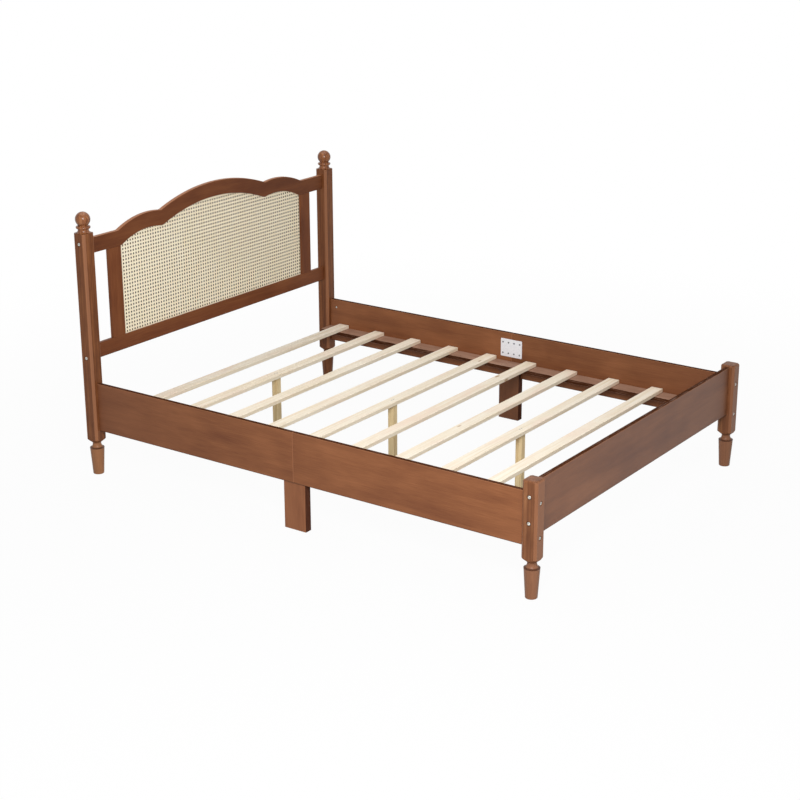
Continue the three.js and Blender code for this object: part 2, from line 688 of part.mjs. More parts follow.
// A bolt along +Z with its head's underside at 0, screwed through its barrel nut, which lies along X
function boltShape() {
  const head = extrude('z', circle(BOLT_HEAD_DIAMETER / 2, COUNTERBORE_SIDES), -BOLT_HEAD_HEIGHT, 0);
  const hexagon = circle(BOLT_SOCKET / Math.sqrt(3), 6);
  const socket = extrude(
    'z', hexagon, -BOLT_HEAD_HEIGHT - CUT_OVERSHOOT, BOLT_SOCKET_DEPTH - BOLT_HEAD_HEIGHT);
  const shank = extrude(
    'z', circle(BOLT_DIAMETER / 2, HOLE_SIDES), BOLT_SOCKET_DEPTH - BOLT_HEAD_HEIGHT, BOLT_REACH + BOLT_TIP);
  const nutSection = circle(NUT_DIAMETER / 2, HOLE_SIDES, 0, BOLT_REACH);
  const nut = extrude('x', nutSection, -NUT_LENGTH / 2, NUT_LENGTH / 2);
  return head.subtract(socket).add(shank).add(nut);
}

const BOLT_SOLID = boltShape();

// A bolt whose head sits in the counterbore of a post, and which runs inward through the post
function railBolt(name, postX, postY, height, inward) {
  const seat = POST_SIZE / 2 - COUNTERBORE_DEPTH + FIT;
  const across = new THREE.Vector3(inward.y, inward.x, 0);
  const mesh = meshFrom(name, BOLT_SOLID, steel);
  const third = new THREE.Vector3().crossVectors(inward, across);
  mesh.quaternion.setFromRotationMatrix(new THREE.Matrix4().makeBasis(across, third, inward));
  mesh.position.set(postX - inward.x * seat, postY - inward.y * seat, height);
  return mesh;
}

function placed(x, y, ...pieces) {
  const group = new THREE.Group();
  group.position.set(x, y, 0);
  group.add(...pieces);
  return group;
}

const SIDES = [['left', -1], ['right', 1]];
const ENDS = [['head', 1], ['foot', -1]];
const LEVELS = ['lower', 'upper'];

function headboard() {
  const parts = placed(
    0, POST_Y, crestRail(), headboardBottomRail(), canePanel(), caneBackingPanel());
  for (const [word, side] of SIDES) {
    parts.add(headboardStile(`headboard_stile_${word}`, side));
    const inward = new THREE.Vector3(-side, 0, 0);
    parts.add(railBolt(`bolt_crest_${word}`, side * POST_X, 0, CREST_BOLT, inward));
    parts.add(railBolt(`bolt_bottom_rail_${word}`, side * POST_X, 0, BOTTOM_RAIL_BOLT, inward));
  }
  return parts;
}

function posts() {
  const group = new THREE.Group();
  for (const [word, side] of SIDES) {
    const crown = finial(`finial_${word}`);
    crown.position.z = HEAD_POST_TOP;
    group.add(placed(side * POST_X, POST_Y, headPost(`head_post_${word}`, side), crown));
    group.add(placed(side * POST_X, -POST_Y, footPost(`foot_post_${word}`, side)));
  }
  return group;
}

function footEnd() {
  const parts = placed(0, -POST_Y, footboard());
  for (const [word, side] of SIDES) {
    FOOTBOARD_BOLTS.forEach((height, i) => {
      const name = `bolt_footboard_${word}_${LEVELS[i]}`;
      parts.add(railBolt(name, side * POST_X, 0, height, new THREE.Vector3(-side, 0, 0)));
    });
  }
  return parts;
}

function sideAssembly(word, side) {
  const parts = placed(
    side * POST_X, 0, joiningPlate(`joining_plate_${word}`, side), middleLeg(`middle_leg_${word}`, side));
  for (const [endWord, end] of ENDS) {
    const firstHole = end > 0 ? HEAD_LEDGER_FIRST_HOLE : FOOT_LEDGER_FIRST_HOLE;
    parts.add(sideRailHalf(`side_rail_${word}_${endWord}`, side, end));
    parts.add(slatLedger(`slat_ledger_${word}_${endWord}`, side, end, firstHole));
    SIDE_BOLTS.forEach((height, i) => {
      const name = `bolt_rail_${word}_${endWord}_${LEVELS[i]}`;
      parts.add(railBolt(name, 0, end * POST_Y, height, new THREE.Vector3(0, -end, 0)));
    });
  }
  return parts;
}

function slatBase() {
  const group = new THREE.Group();
  for (let index = 0; index < SLAT_COUNT; index += 1) {
    group.add(slat(index));
  }
  for (const [place, index] of Object.entries(CENTRE_LEG_SLATS)) {
    group.add(centreLeg(place, index), ...slatScrews(place, index));
  }
  return group;
}

const bed = new THREE.Group();
bed.add(posts(), headboard(), footEnd(), slatBase());
for (const [word, side] of SIDES) {
  bed.add(sideAssembly(word, side));
}

export default bed;
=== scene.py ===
"""A rattan headboard bed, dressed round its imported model.

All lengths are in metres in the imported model's frame: Z is up, the headboard stands at +Y, and the
origin is on the floor under the middle of the bed. "Left" is -X and "right" is +X.
"""

from __future__ import annotations

import logging
import math
from collections.abc import Callable, Iterator, Sequence
from contextlib import contextmanager
from dataclasses import dataclass, replace
from enum import Enum

import bmesh
import bpy
from mathutils import Euler, Matrix, Vector


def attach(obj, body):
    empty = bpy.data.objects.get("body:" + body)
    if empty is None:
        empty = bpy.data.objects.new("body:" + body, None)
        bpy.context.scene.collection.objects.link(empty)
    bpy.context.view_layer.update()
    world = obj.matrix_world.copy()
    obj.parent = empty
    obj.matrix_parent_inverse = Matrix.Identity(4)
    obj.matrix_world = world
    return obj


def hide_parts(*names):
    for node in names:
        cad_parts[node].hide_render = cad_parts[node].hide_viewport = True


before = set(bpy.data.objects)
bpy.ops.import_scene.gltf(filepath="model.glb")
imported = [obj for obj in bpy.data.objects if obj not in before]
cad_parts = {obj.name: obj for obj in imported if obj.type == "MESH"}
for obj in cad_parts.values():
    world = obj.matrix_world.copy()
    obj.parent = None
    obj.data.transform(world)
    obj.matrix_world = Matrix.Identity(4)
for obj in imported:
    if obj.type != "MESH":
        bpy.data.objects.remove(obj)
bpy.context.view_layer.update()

LOG = logging.getLogger("bed")
MM = 0.001
FIT = 0.3 * MM  # between pieces that meet
OVERSHOOT = 1.0 * MM  # by which a cutter runs out of the wood
FACING = 0.9  # how squarely a face that is picked looks its way, at least

Piece = bpy.types.Object
Socket = bpy.types.NodeSocket
Inputs = dict[str | int, object]
Colour = tuple[float, float, float]
Point = tuple[float, float, float]
Profile = list[tuple[float, float]]

ACROSS = (("left", -1), ("right", 1))
LENGTHWISE = (("head", 1), ("foot", -1))

# Sizes that several pieces and finishes share
POST_X = 785 * MM
POST_Y = 1051.5 * MM
POST_SIZE = 62 * MM
HALF_BAY_X = POST_X - POST_SIZE / 2 - FIT  # the boards' reach, up to the posts
HALF_BAY_Y = POST_Y - POST_SIZE / 2 - FIT
SIDE_RAIL_BASE = 195 * MM
FOOTBOARD_BASE = 234 * MM
HEADBOARD_BASE = 495 * MM
RAIL_END = 1.05  # where the painted shade on the side rails is deepest
RIM_LEVEL = 116 * MM  # of the painted shade line in the cove round the posts' turned feet
FOOT_FADE = (150 * MM, 132 * MM)  # where the painted light on the feet has ended, and where it starts to fade


# The workbench


class Boolean(Enum):
    """What a second solid does to the first."""

    CUT = "DIFFERENCE"
    KEEP = "INTERSECT"
    FUSE = "UNION"


class Along(Enum):
    """The way that a board's grain or a strand's fibres run, as turns about Y and Z from X."""

    X = (0.0, 0.0)
    Y = (0.0, 90.0)
    Z = (90.0, 0.0)
    RISING = (-45.0, 0.0)
    FALLING = (45.0, 0.0)


def choose(piece: Piece) -> None:
    """Select one piece alone and make it active.

    Args:
        piece: The piece.
    """
    bpy.ops.object.select_all(action="DESELECT")
    piece.select_set(True)
    bpy.context.view_layer.objects.active = piece


def rename(piece: Piece, name: str) -> None:
    """Give a piece and its mesh one name."""
    piece.name = name
    piece.data.name = name


def named(name: str) -> Piece:
    """Name the piece that the last operator added.

    Args:
        name: Its name.

    Returns:
        The piece.
    """
    piece = bpy.context.active_object
    rename(piece, name)
    return piece


def settle(piece: Piece) -> Piece:
    """Move a piece's place, turn and size into its mesh.

    Args:
        piece: The piece.

    Returns:
        The same piece, now at the origin, unturned and unscaled.
    """
    choose(piece)
    bpy.ops.object.transform_apply(location=True, rotation=True, scale=True)
    return piece


def span(side: int, near: float, far: float) -> tuple[float, float]:
    """Give two places on one side of the middle, the lower one first."""
    low, high = sorted((side * near, side * far))
    return low, high


@contextmanager
def editing(piece: Piece, elements: str = "FACE") -> Iterator[None]:
    """Open a piece in edit mode.

    Args:
        piece: The piece to open.
        elements: VERT, EDGE or FACE, for what is selected there.
    """
    choose(piece)
    bpy.ops.object.mode_set(mode="EDIT")
    bpy.ops.mesh.select_mode(type=elements)
    yield
    bpy.ops.object.mode_set(mode="OBJECT")


def pick_faces(piece: Piece, test: Callable[[Vector, Vector], bool]) -> None:
    """Select faces of a piece that is open in edit mode.

    Args:
        piece: The open piece.
        test: Says yes to a face's middle and normal.
    """
    bpy.ops.mesh.select_all(action="DESELECT")
    mesh = bmesh.from_edit_mesh(piece.data)
    for face in mesh.faces:
        face.select_set(test(face.calc_center_median(), face.normal))
    bmesh.update_edit_mesh(piece.data)


def bevel_edges(piece: Piece, test: Callable[[Vector, Vector], bool], width: float,
                segments: int) -> None:
    """Bevel some edges of a piece.

    Args:
        piece: The piece.
        test: Says yes to an edge's two ends.
        width: How far the bevel reaches from the edge.
        segments: 1 for a flat bevel, and more for a round one.
    """
    with editing(piece, "EDGE"):
        bpy.ops.mesh.select_all(action="DESELECT")
        mesh = bmesh.from_edit_mesh(piece.data)
        for edge in mesh.edges:
            edge.select_set(test(edge.verts[0].co, edge.verts[1].co))
        bmesh.update_edit_mesh(piece.data)
        bpy.ops.mesh.bevel(offset=width, segments=segments, profile=0.5, affect="EDGES")


def apply_modifier(piece: Piece, kind: str, **settings: object) -> None:
    """Add a modifier to a piece and apply it.

    Args:
        piece: The piece to change.
        kind: The modifier's type.
        **settings: Its properties.
    """
    choose(piece)
    modifier = piece.modifiers.new(kind.title(), kind)
    for name, value in settings.items():
        setattr(modifier, name, value)
    bpy.ops.object.modifier_apply(modifier=modifier.name)


def joined(pieces: Sequence[Piece]) -> Piece:
    """Join pieces to the first of them.

    Args:
        pieces: One piece or more.

    Returns:
        The first piece, which now holds them all.
    """
    choose(pieces[0])
    for piece in pieces[1:]:
        piece.select_set(True)
    if len(pieces) > 1:
        bpy.ops.object.join()
    return pieces[0]


def combine(piece: Piece, tools: Sequence[Piece], way: Boolean, solver: str = "EXACT") -> None:
    """Cut, keep or fuse a piece by some tools, which are used up.

    Args:
        piece: The piece to change.
        tools: Solids that lie clear of each other.
        way: What they do to the piece.
        solver: Blender's boolean solver.
    """
    tool = joined(tools)
    apply_modifier(piece, "BOOLEAN", object=tool, operation=way.value, solver=solver)
    bpy.data.objects.remove(tool)


def block(name: str, low: Point, high: Point) -> Piece:
    """Add a box.

    Args:
        name: Its name.
        low: Its lowest corner.
        high: Its highest corner.

    Returns:
        The box.
    """
    middle = (Vector(low) + Vector(high)) / 2
    bpy.ops.mesh.primitive_cube_add(size=1, location=middle)
    piece = named(name)
    piece.scale = Vector(high) - Vector(low)
    return settle(piece)


def face_out(piece: Piece) -> None:
    """Make all of a closed piece's faces point outwards.

    Args:
        piece: The piece, whose doubles are merged first.
    """
    with editing(piece):
        bpy.ops.mesh.select_all(action="SELECT")
        bpy.ops.mesh.remove_doubles(threshold=1e-6)
        bpy.ops.mesh.normals_make_consistent(inside=False)


def soften(piece: Piece, width: float, limit: float = 60, segments: int = 2) -> None:
    """Round a piece's sharp edges a little.

    Args:
        piece: The piece.
        width: How far the rounding reaches from the edge.
        limit: The least angle of an edge that is rounded, in degrees.
        segments: The steps of the rounding.
    """
    apply_modifier(
        piece, "BEVEL", width=width, segments=segments, limit_method="ANGLE",
        angle_limit=math.radians(limit), use_clamp_overlap=False)


def board(name: str, low: Point, high: Point, ease: float, end_ease: float = 0.7 * MM) -> Piece:
    """Make a board with rounded long edges.

    Args:
        name: Its name.
        low: Its lowest corner.
        high: Its highest corner.
        ease: The radius of its long edges.
        end_ease: The radius of the edges round its ends.

    Returns:
        The board.
    """
    piece = block(name, low, high)
    size = Vector(high) - Vector(low)
    longest = max(range(3), key=lambda axis: size[axis])
    bevel_edges(piece, lambda a, b: abs(a[longest] - b[longest]) > size[longest] / 2, ease, 4)
    soften(piece, end_ease)
    return piece


def turned(name: str, profile: Profile, sides: int = 64) -> Piece:
    """Turn a solid about the Z axis.

    Args:
        name: Its name.
        profile: Radius and height of each ring from the bottom up. A last radius of 0 closes the
            top to a point.
        sides: How many flats make the round.

    Returns:
        The solid.
    """
    radius, height = profile[0]
    bpy.ops.mesh.primitive_circle_add(
        vertices=sides, radius=radius, fill_type="NGON", location=(0, 0, height))
    piece = settle(named(name))
    with editing(piece):
        bpy.ops.mesh.select_all(action="SELECT")
        for next_radius, next_height in profile[1:]:
            bpy.ops.mesh.extrude_region_move(
                TRANSFORM_OT_translate={"value": (0, 0, next_height - height)})
            if next_radius > 0:
                factor = next_radius / radius
                bpy.ops.transform.resize(
                    value=(factor, factor, 1), center_override=(0, 0, next_height))
            else:
                bpy.ops.mesh.merge(type="CENTER")
            radius, height = next_radius, next_height
    face_out(piece)
    return piece


def rod(name: str, radius: float, low: float, high: float, sides: int) -> Piece:
    """Turn a straight rod on the Z axis, from one height to another."""
    return turned(name, [(radius, low), (radius, high)], sides)


def arc(middle: tuple[float, float], radii: tuple[float, float], start: float, end: float,
        steps: int) -> Profile:
    """List points on an upright ellipse.

    Args:
        middle: Its middle.
        radii: Its half width and half height.
        start: The first point's angle in degrees.
        end: The last point's angle.
        steps: The number of stretches between them.

    Returns:
        The points, both ends included.
    """
    angles = [math.radians(start + (end - start) * i / steps) for i in range(steps + 1)]
    return [(middle[0] + radii[0] * math.cos(a), middle[1] + radii[1] * math.sin(a))
            for a in angles]


def aim(piece: Piece, place: Sequence[float], inward: Sequence[float]) -> Piece:
    """Turn a piece that was made along +Z to point a level way, with its own X axis level too.

    Args:
        piece: The piece.
        place: Where its origin goes.
        inward: The way that its +Z axis then points.

    Returns:
        The same piece.
    """
    ahead = Vector(inward)
    across = Vector((ahead.y, ahead.x, 0))
    turn = Matrix((across, ahead.cross(across), ahead)).transposed().to_4x4()
    piece.matrix_world = Matrix.Translation(place) @ turn
    return settle(piece)


def copied(piece: Piece, name: str, shift: Point = (0, 0, 0)) -> Piece:
    """Copy a piece with its own mesh.

    Args:
        piece: The piece to copy.
        name: The copy's name.
        shift: How far it is moved.

    Returns:
        The copy.
    """
    twin = piece.copy()
    twin.data = piece.data.copy()
    rename(twin, name)
    bpy.context.scene.collection.objects.link(twin)
    twin.location = shift
    return settle(twin)


def smooth(piece: Piece, angle: float = 35, flat_faces: bool = True) -> None:
    """Shade a piece's rounded parts smooth and leave its corners crisp.

    Args:
        piece: The piece.
        angle: The greatest angle that is shaded smooth, in degrees.
        flat_faces: Whether its large faces keep a flat shade up to their edges.
    """
    choose(piece)
    bpy.ops.object.shade_smooth_by_angle(angle=math.radians(angle))
    if flat_faces:
        apply_modifier(piece, "WEIGHTED_NORMAL", keep_sharp=True, weight=80)


def deliver(piece: Piece, material: bpy.types.Material, slot: str, *nodes: str) -> None:
    """Dress a finished piece and set it in the frame.

    Args:
        piece: The piece.
        material: Its finish.
        slot: The record's material slot that it belongs to, which is not used.
        *nodes: The nodes that it stands for.
    """
    piece.data.materials.clear()
    piece.data.materials.append(material)
    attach(piece, "root")
    if nodes:
        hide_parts(*nodes)
    LOG.info("%s: %d faces for %s", piece.name, len(piece.data.polygons), ", ".join(nodes))


# Finishes


class NodeTree:
    """A node tree that is filled node by node."""

    def __init__(self, tree: bpy.types.NodeTree) -> None:
        """Start with an empty tree.

        Args:
            tree: The tree of a material or a world.
        """
        self.tree = tree
        tree.nodes.clear()

    def feed(self, node: bpy.types.Node, inputs: Inputs) -> None:
        """Link other nodes' outputs to a node's inputs, or set their values.

        Args:
            node: The node.
            inputs: An output or a value for each input.
        """
        for key, value in inputs.items():
            if isinstance(value, bpy.types.NodeSocket):
                self.tree.links.new(value, node.inputs[key])
            else:
                node.inputs[key].default_value = value

    def node(self, kind: str, inputs: Inputs | None = None, **settings: object) -> bpy.types.Node:
        """Add a node.

        Args:
            kind: Its type.
            inputs: An output or a value for each input that isn't left as it is.
            **settings: Its own properties.

        Returns:
            The node.
        """
        added = self.tree.nodes.new(kind)
        for name, value in settings.items():
            setattr(added, name, value)
        self.feed(added, inputs or {})
        return added

    def maths(self, operation: str, first: Socket | float, second: Socket | float) -> Socket:
        """Join two values by a sum, and return the result."""
        return self.node("ShaderNodeMath", {0: first, 1: second}, operation=operation).outputs[0]


class Sketch(NodeTree):
    """A material whose pattern is built up from noises that run along its grain."""

    def __init__(self, name: str, along: Along = Along.X, offset: Point = (0, 0, 0)) -> None:
        """Start a material with a surface shader alone.

        Args:
            name: Its name.
            along: The way of the piece that becomes the patterns' X axis.
            offset: A shift, so that two pieces don't share one pattern.
        """
        self.material = bpy.data.materials.new(name)
        self.material.use_nodes = True
        super().__init__(self.material.node_tree)
        self.along = along
        self.offset = offset
        self.surface = self.node("ShaderNodeBsdfPrincipled")
        self.node("ShaderNodeOutputMaterial", {"Surface": self.surface.outputs[0]})

    def coat(self, inputs: Inputs) -> bpy.types.Material:
        """Feed the surface shader, and return the material."""
        self.feed(self.surface, inputs)
        return self.material

    def coordinates(self) -> Socket:
        """Give the place of each point in the part's frame, in metres."""
        return self.node("ShaderNodeTexCoord").outputs["Object"]

    def place(self, run: float, across: float) -> Socket:
        """Give the place of each point in a pattern's own axes.

        Args:
            run: The pattern's repeats to a metre along the grain.
            across: Its repeats to a metre across the grain.

        Returns:
            The coordinates.
        """
        pitch, yaw = self.along.value
        turn = self.node("ShaderNodeMapping", {
            "Vector": self.coordinates(), "Location": self.offset,
            "Rotation": (0, math.radians(pitch), -math.radians(yaw))})
        scale = self.node("ShaderNodeMapping", {
            "Vector": turn.outputs[0], "Scale": (run, across, across)})
        return scale.outputs[0]

    def noise(self, run: float, across: float, detail: float = 2, distortion: float = 0,
              roughness: float = 0.5) -> Socket:
        """Add a noise that is drawn out along the grain.

        Args:
            run: Its marks to a metre along the grain.
            across: Its marks to a metre across the grain.
            detail: How many finer noises are laid over it.
            distortion: How far it is stirred.
            roughness: How strong the finer noises are.

        Returns:
            The noise's value.
        """
        return self.node("ShaderNodeTexNoise", {
            "Vector": self.place(run, across), "Scale": 1, "Detail": detail,
            "Distortion": distortion, "Roughness": roughness}).outputs[0]

    def cells(self, place: Socket, scale: float) -> Socket:
        """Give the distance to the nearest of many scattered points."""
        return self.node(
            "ShaderNodeTexVoronoi", {"Vector": place, "Scale": scale}).outputs["Distance"]

    def part_of(self, vector: Socket, axis: str) -> Socket:
        """Give a vector's part along one axis."""
        return self.node("ShaderNodeSeparateXYZ", {0: vector}).outputs[axis]

    def place_on(self, axis: str) -> Socket:
        """Give how far along one axis of the part's frame each point is, in metres."""
        return self.part_of(self.coordinates(), axis)

    def turned_to(self, axis: str) -> Socket:
        """Give how far each face looks along one axis, from -1 to 1."""
        return self.part_of(self.node("ShaderNodeNewGeometry").outputs["Normal"], axis)

    def size_of(self, value: Socket) -> Socket:
        """Give a value without its sign."""
        return self.maths("ABSOLUTE", value, 0)

    def weigh(self, parts: Sequence[tuple[Socket, float]]) -> Socket:
        """Add up some values.

        Args:
            parts: Each value with its weight.

        Returns:
            Their sum.
        """
        total: Socket | float = 0.0
        for value, weight in parts:
            total = self.maths("ADD", self.maths("MULTIPLY", value, weight), total)
        return total

    def ramp(self, value: Socket, stops: Sequence[float], colours: Sequence[Colour]) -> Socket:
        """Turn a value into a colour.

        Args:
            value: The value.
            stops: The values at which it has each of the colours.
            colours: The colours.

        Returns:
            The colour.
        """
        added = self.node("ShaderNodeValToRGB", {0: value})
        elements = added.color_ramp.elements
        while len(elements) < len(stops):
            elements.new(0.5)
        for element, stop, colour in zip(elements, stops, colours):
            element.position = stop
            element.color = (*colour, 1)
        return added.outputs[0]

    def blend(self, factor: Socket, first: Socket, second: Colour) -> Socket:
        """Lay a colour over another, as strongly as a factor says."""
        return self.node(
            "ShaderNodeMix", {0: factor, 6: first, 7: (*second, 1)}, data_type="RGBA").outputs[2]

    def share(self, value: Socket, none: float, full: float, most: float = 1.0) -> Socket:
        """Turn a value into a share that rises between two limits.

        Args:
            value: The value.
            none: Where the share is 0, as it is beyond.
            full: Where it is full, as it is beyond.
            most: The full share.

        Returns:
            The share.
        """
        rises = none < full
        return self.node("ShaderNodeMapRange", {
            "Value": value, "From Min": min(none, full), "From Max": max(none, full),
            "To Min": 0 if rises else most, "To Max": most if rises else 0}).outputs[0]

    def between(self, value: Socket, limits: tuple[float, float]) -> Socket:
        """Spread a value over the stretch between two limits.

        Args:
            value: The value, from 0 to 1.
            limits: What 0 and 1 become.

        Returns:
            The new value.
        """
        low, high = limits
        return self.node(
            "ShaderNodeMapRange", {"Value": value, "To Min": low, "To Max": high}).outputs[0]

    def relief(self, height: Socket, depth: float, strength: float) -> Socket:
        """Give the normals of a surface that is raised by a pattern.

        Args:
            height: The pattern.
            depth: The height of its full range, in metres.
            strength: How much of it shows.

        Returns:
            The normals.
        """
        return self.node("ShaderNodeBump", {
            "Height": height, "Distance": depth, "Strength": strength}).outputs[0]


def linear(red: int, green: int, blue: int) -> Colour:
    """Turn a colour from screen values into light values.

    Args:
        red: Its red, from 0 to 255.
        green: Its green.
        blue: Its blue.

    Returns:
        The same colour in light values, from 0 to 1.
    """
    def channel(value: int) -> float:
        """Turn one screen value into a light value."""
        share = value / 255
        return share / 12.92 if share <= 0.04045 else ((share + 0.055) / 1.055) ** 2.4
    return channel(red), channel(green), channel(blue)


def shades(*colours: tuple[int, int, int]) -> tuple[Colour, ...]:
    """Turn some colours from screen values into light values."""
    return tuple(linear(*colour) for colour in colours)


class Edge(Enum):
    """The kind of edge that is painted paler as a highlight."""

    NONE = 0
    EASED = 1  # a board's rounded edges
    CHAMFERED = 2  # the posts' corners


class Faces(Enum):
    """Which faces have a stain of their own, seen from one axis.

    Each value says how far a face looks along the axis where it has none of the stain and all.
    """

    BOTH_ENDS = (0.5, 0.9)  # those that look either way along it
    PLUS_END = (0.6, 0.8)  # those that look its way
    SIDES = (0.6, 0.2)  # all the others


@dataclass(frozen=True)
class FaceStain:
    """Another colour on some of a piece's faces: painted shade or painted light on most pieces, and
    the back's own brown on the backing.
    """

    colour: Colour
    axis: str
    faces: Faces = Faces.BOTH_ENDS
    matt: bool = False  # whether it also dulls the lacquer
    strength: float = 1.0  # how much of the wood's own colour it hides

    def mask(self, sketch: Sketch) -> Socket:
        """Give the stain's strength where it is.

        Args:
            sketch: The material.

        Returns:
            The strength on the stained faces, and 0 on the others.
        """
        facing = sketch.turned_to(self.axis)
        if self.faces is not Faces.PLUS_END:
            facing = sketch.size_of(facing)
        return sketch.share(facing, *self.faces.value, self.strength)


@dataclass(frozen=True)
class Band:
    """Another colour near one level along an axis of the part's frame."""

    colour: Colour
    axis: str
    level: float
    none: float  # how far from the level it ends
    full: float  # how far from the level it is still at its strength
    strength: float

    def laid(self, sketch: Sketch, colour: Socket) -> Socket:
        """Lay the band over a colour.

        Args:
            sketch: The material.
            colour: The colour below.

        Returns:
            The new colour.
        """
        away = sketch.size_of(sketch.maths("SUBTRACT", sketch.place_on(self.axis), self.level))
        share = sketch.share(away, self.none, self.full, self.strength)
        return sketch.blend(share, colour, self.colour)


@dataclass(frozen=True)
class StainedWood:
    """Brown stain under a thin satin lacquer, with the grain showing through."""

    name: str = "walnut_stain"
    tones: tuple[Colour, ...] = shades((106, 61, 38), (130, 81, 51), (152, 98, 64))
    tone_stops: tuple[float, ...] = (0.33, 0.5, 0.68)  # the grain's value at each tone
    seed_shift: Point = (3.1, 1.7, 2.3)
    band_run: float = 1.6  # bands to a metre along the grain
    band_width: float = 45 * MM
    cloud_size: float = 0.3
    fibre_run: float = 14
    fibre_width: float = 2.2 * MM
    band_share: float = 0.3
    fibre_share: float = 0.35
    relief: tuple[float, float] = (0.25 * MM, 0.22)  # the fibres' depth, and how much shows
    gloss: tuple[float, float] = (0.38, 0.52)
    specular: float = 0.25
    edge: Edge = Edge.NONE
    highlight_share: float = 0.5  # how strong the painted highlight is there
    # the colour of the painted highlight on those edges
    worn: Colour = linear(164, 112, 80)
    ease_limits: tuple[float, float] = (0.15, 0.35)  # of how far it looks both out and up
    chamfer_limits: tuple[float, float] = (50.5 * MM, 52.7 * MM)  # from the post's middle
    second: FaceStain | None = None
    streak_limits: tuple[float, float] = (0.2, 0.45)  # of the fibres, under the second stain
    bands: tuple[Band, ...] = ()

    def material(self, along: Along, seed: float) -> bpy.types.Material:
        """Make the finish for one board.

        Args:
            along: The way of its grain.
            seed: A number of its own, so that no two boards look the same.

        Returns:
            The material.
        """
        sketch = Sketch(
            f"{self.name}_{along.name.lower()}_{seed:g}", along,
            tuple(seed * part for part in self.seed_shift))
        bands = sketch.noise(self.band_run, 1 / self.band_width, detail=3, distortion=0.7)
        clouds = sketch.noise(1.2 / self.cloud_size, 2.4 / self.cloud_size, distortion=0.3)
        fibres = sketch.noise(
            self.fibre_run, 1 / self.fibre_width, detail=4, distortion=0.2, roughness=0.62)
        tone = sketch.weigh([
            (bands, self.band_share), (fibres, self.fibre_share),
            (clouds, 1 - self.band_share - self.fibre_share)])
        colour = sketch.ramp(tone, self.tone_stops, self.tones)
        specular: Socket | float = self.specular
        if self.second:
            streaks = sketch.share(fibres, *self.streak_limits)
            shade = sketch.maths("MULTIPLY", self.second.mask(sketch), streaks)
            colour = sketch.blend(shade, colour, self.second.colour)
            if self.second.matt:
                specular = sketch.maths("MULTIPLY", sketch.maths("SUBTRACT", 1, shade), specular)
        for band in self.bands:
            colour = band.laid(sketch, colour)
        # Painted highlight: a paler colour along the eased edges or the chamfers
        if self.edge is not Edge.NONE:
            lit_edges = self.on_chamfer if self.edge is Edge.CHAMFERED else self.on_ease
            colour = sketch.blend(lit_edges(sketch), colour, self.worn)
        sketch.coat({"Specular IOR Level": self.specular})  # which a mask may then overrule
        return sketch.coat({
            "Base Color": colour, "Roughness": sketch.between(fibres, self.gloss),
            "Normal": sketch.relief(fibres, *self.relief), "Specular IOR Level": specular})

    def deeper(self, name: str, share: float) -> StainedWood:
        """Give the same finish with its tones darkened by a share.

        Args:
            name: Its name.
            share: How much of its light it still gives back.

        Returns:
            The finish.
        """
        tones = tuple(tuple(part * share for part in tone) for tone in self.tones)
        return replace(self, name=name, tones=tones)

    def on_ease(self, sketch: Sketch) -> Socket:
        """Find the rounded edges between a board's front or back and its top.

        Args:
            sketch: The material.

        Returns:
            The painted highlight's strength on those edges, and 0 elsewhere.
        """
        level = sketch.maths(
            "MAXIMUM", *[sketch.size_of(sketch.turned_to(axis)) for axis in ("X", "Y")])
        both = sketch.maths("MULTIPLY", level, sketch.turned_to("Z"))
        return sketch.share(both, *self.ease_limits, self.highlight_share)

    def on_chamfer(self, sketch: Sketch) -> Socket:
        """Find the chamfers of whichever post a point is on.

        Args:
            sketch: The material.

        Returns:
            The painted highlight's strength on the chamfers, and 0 inside the post's faces.
        """
        reach: Socket | float = 0.0
        for axis, middle in (("X", POST_X), ("Y", POST_Y)):
            aside = sketch.maths("SUBTRACT", sketch.size_of(sketch.place_on(axis)), middle)
            reach = sketch.maths("ADD", sketch.size_of(aside), reach)
        return sketch.share(reach, *self.chamfer_limits, self.highlight_share)


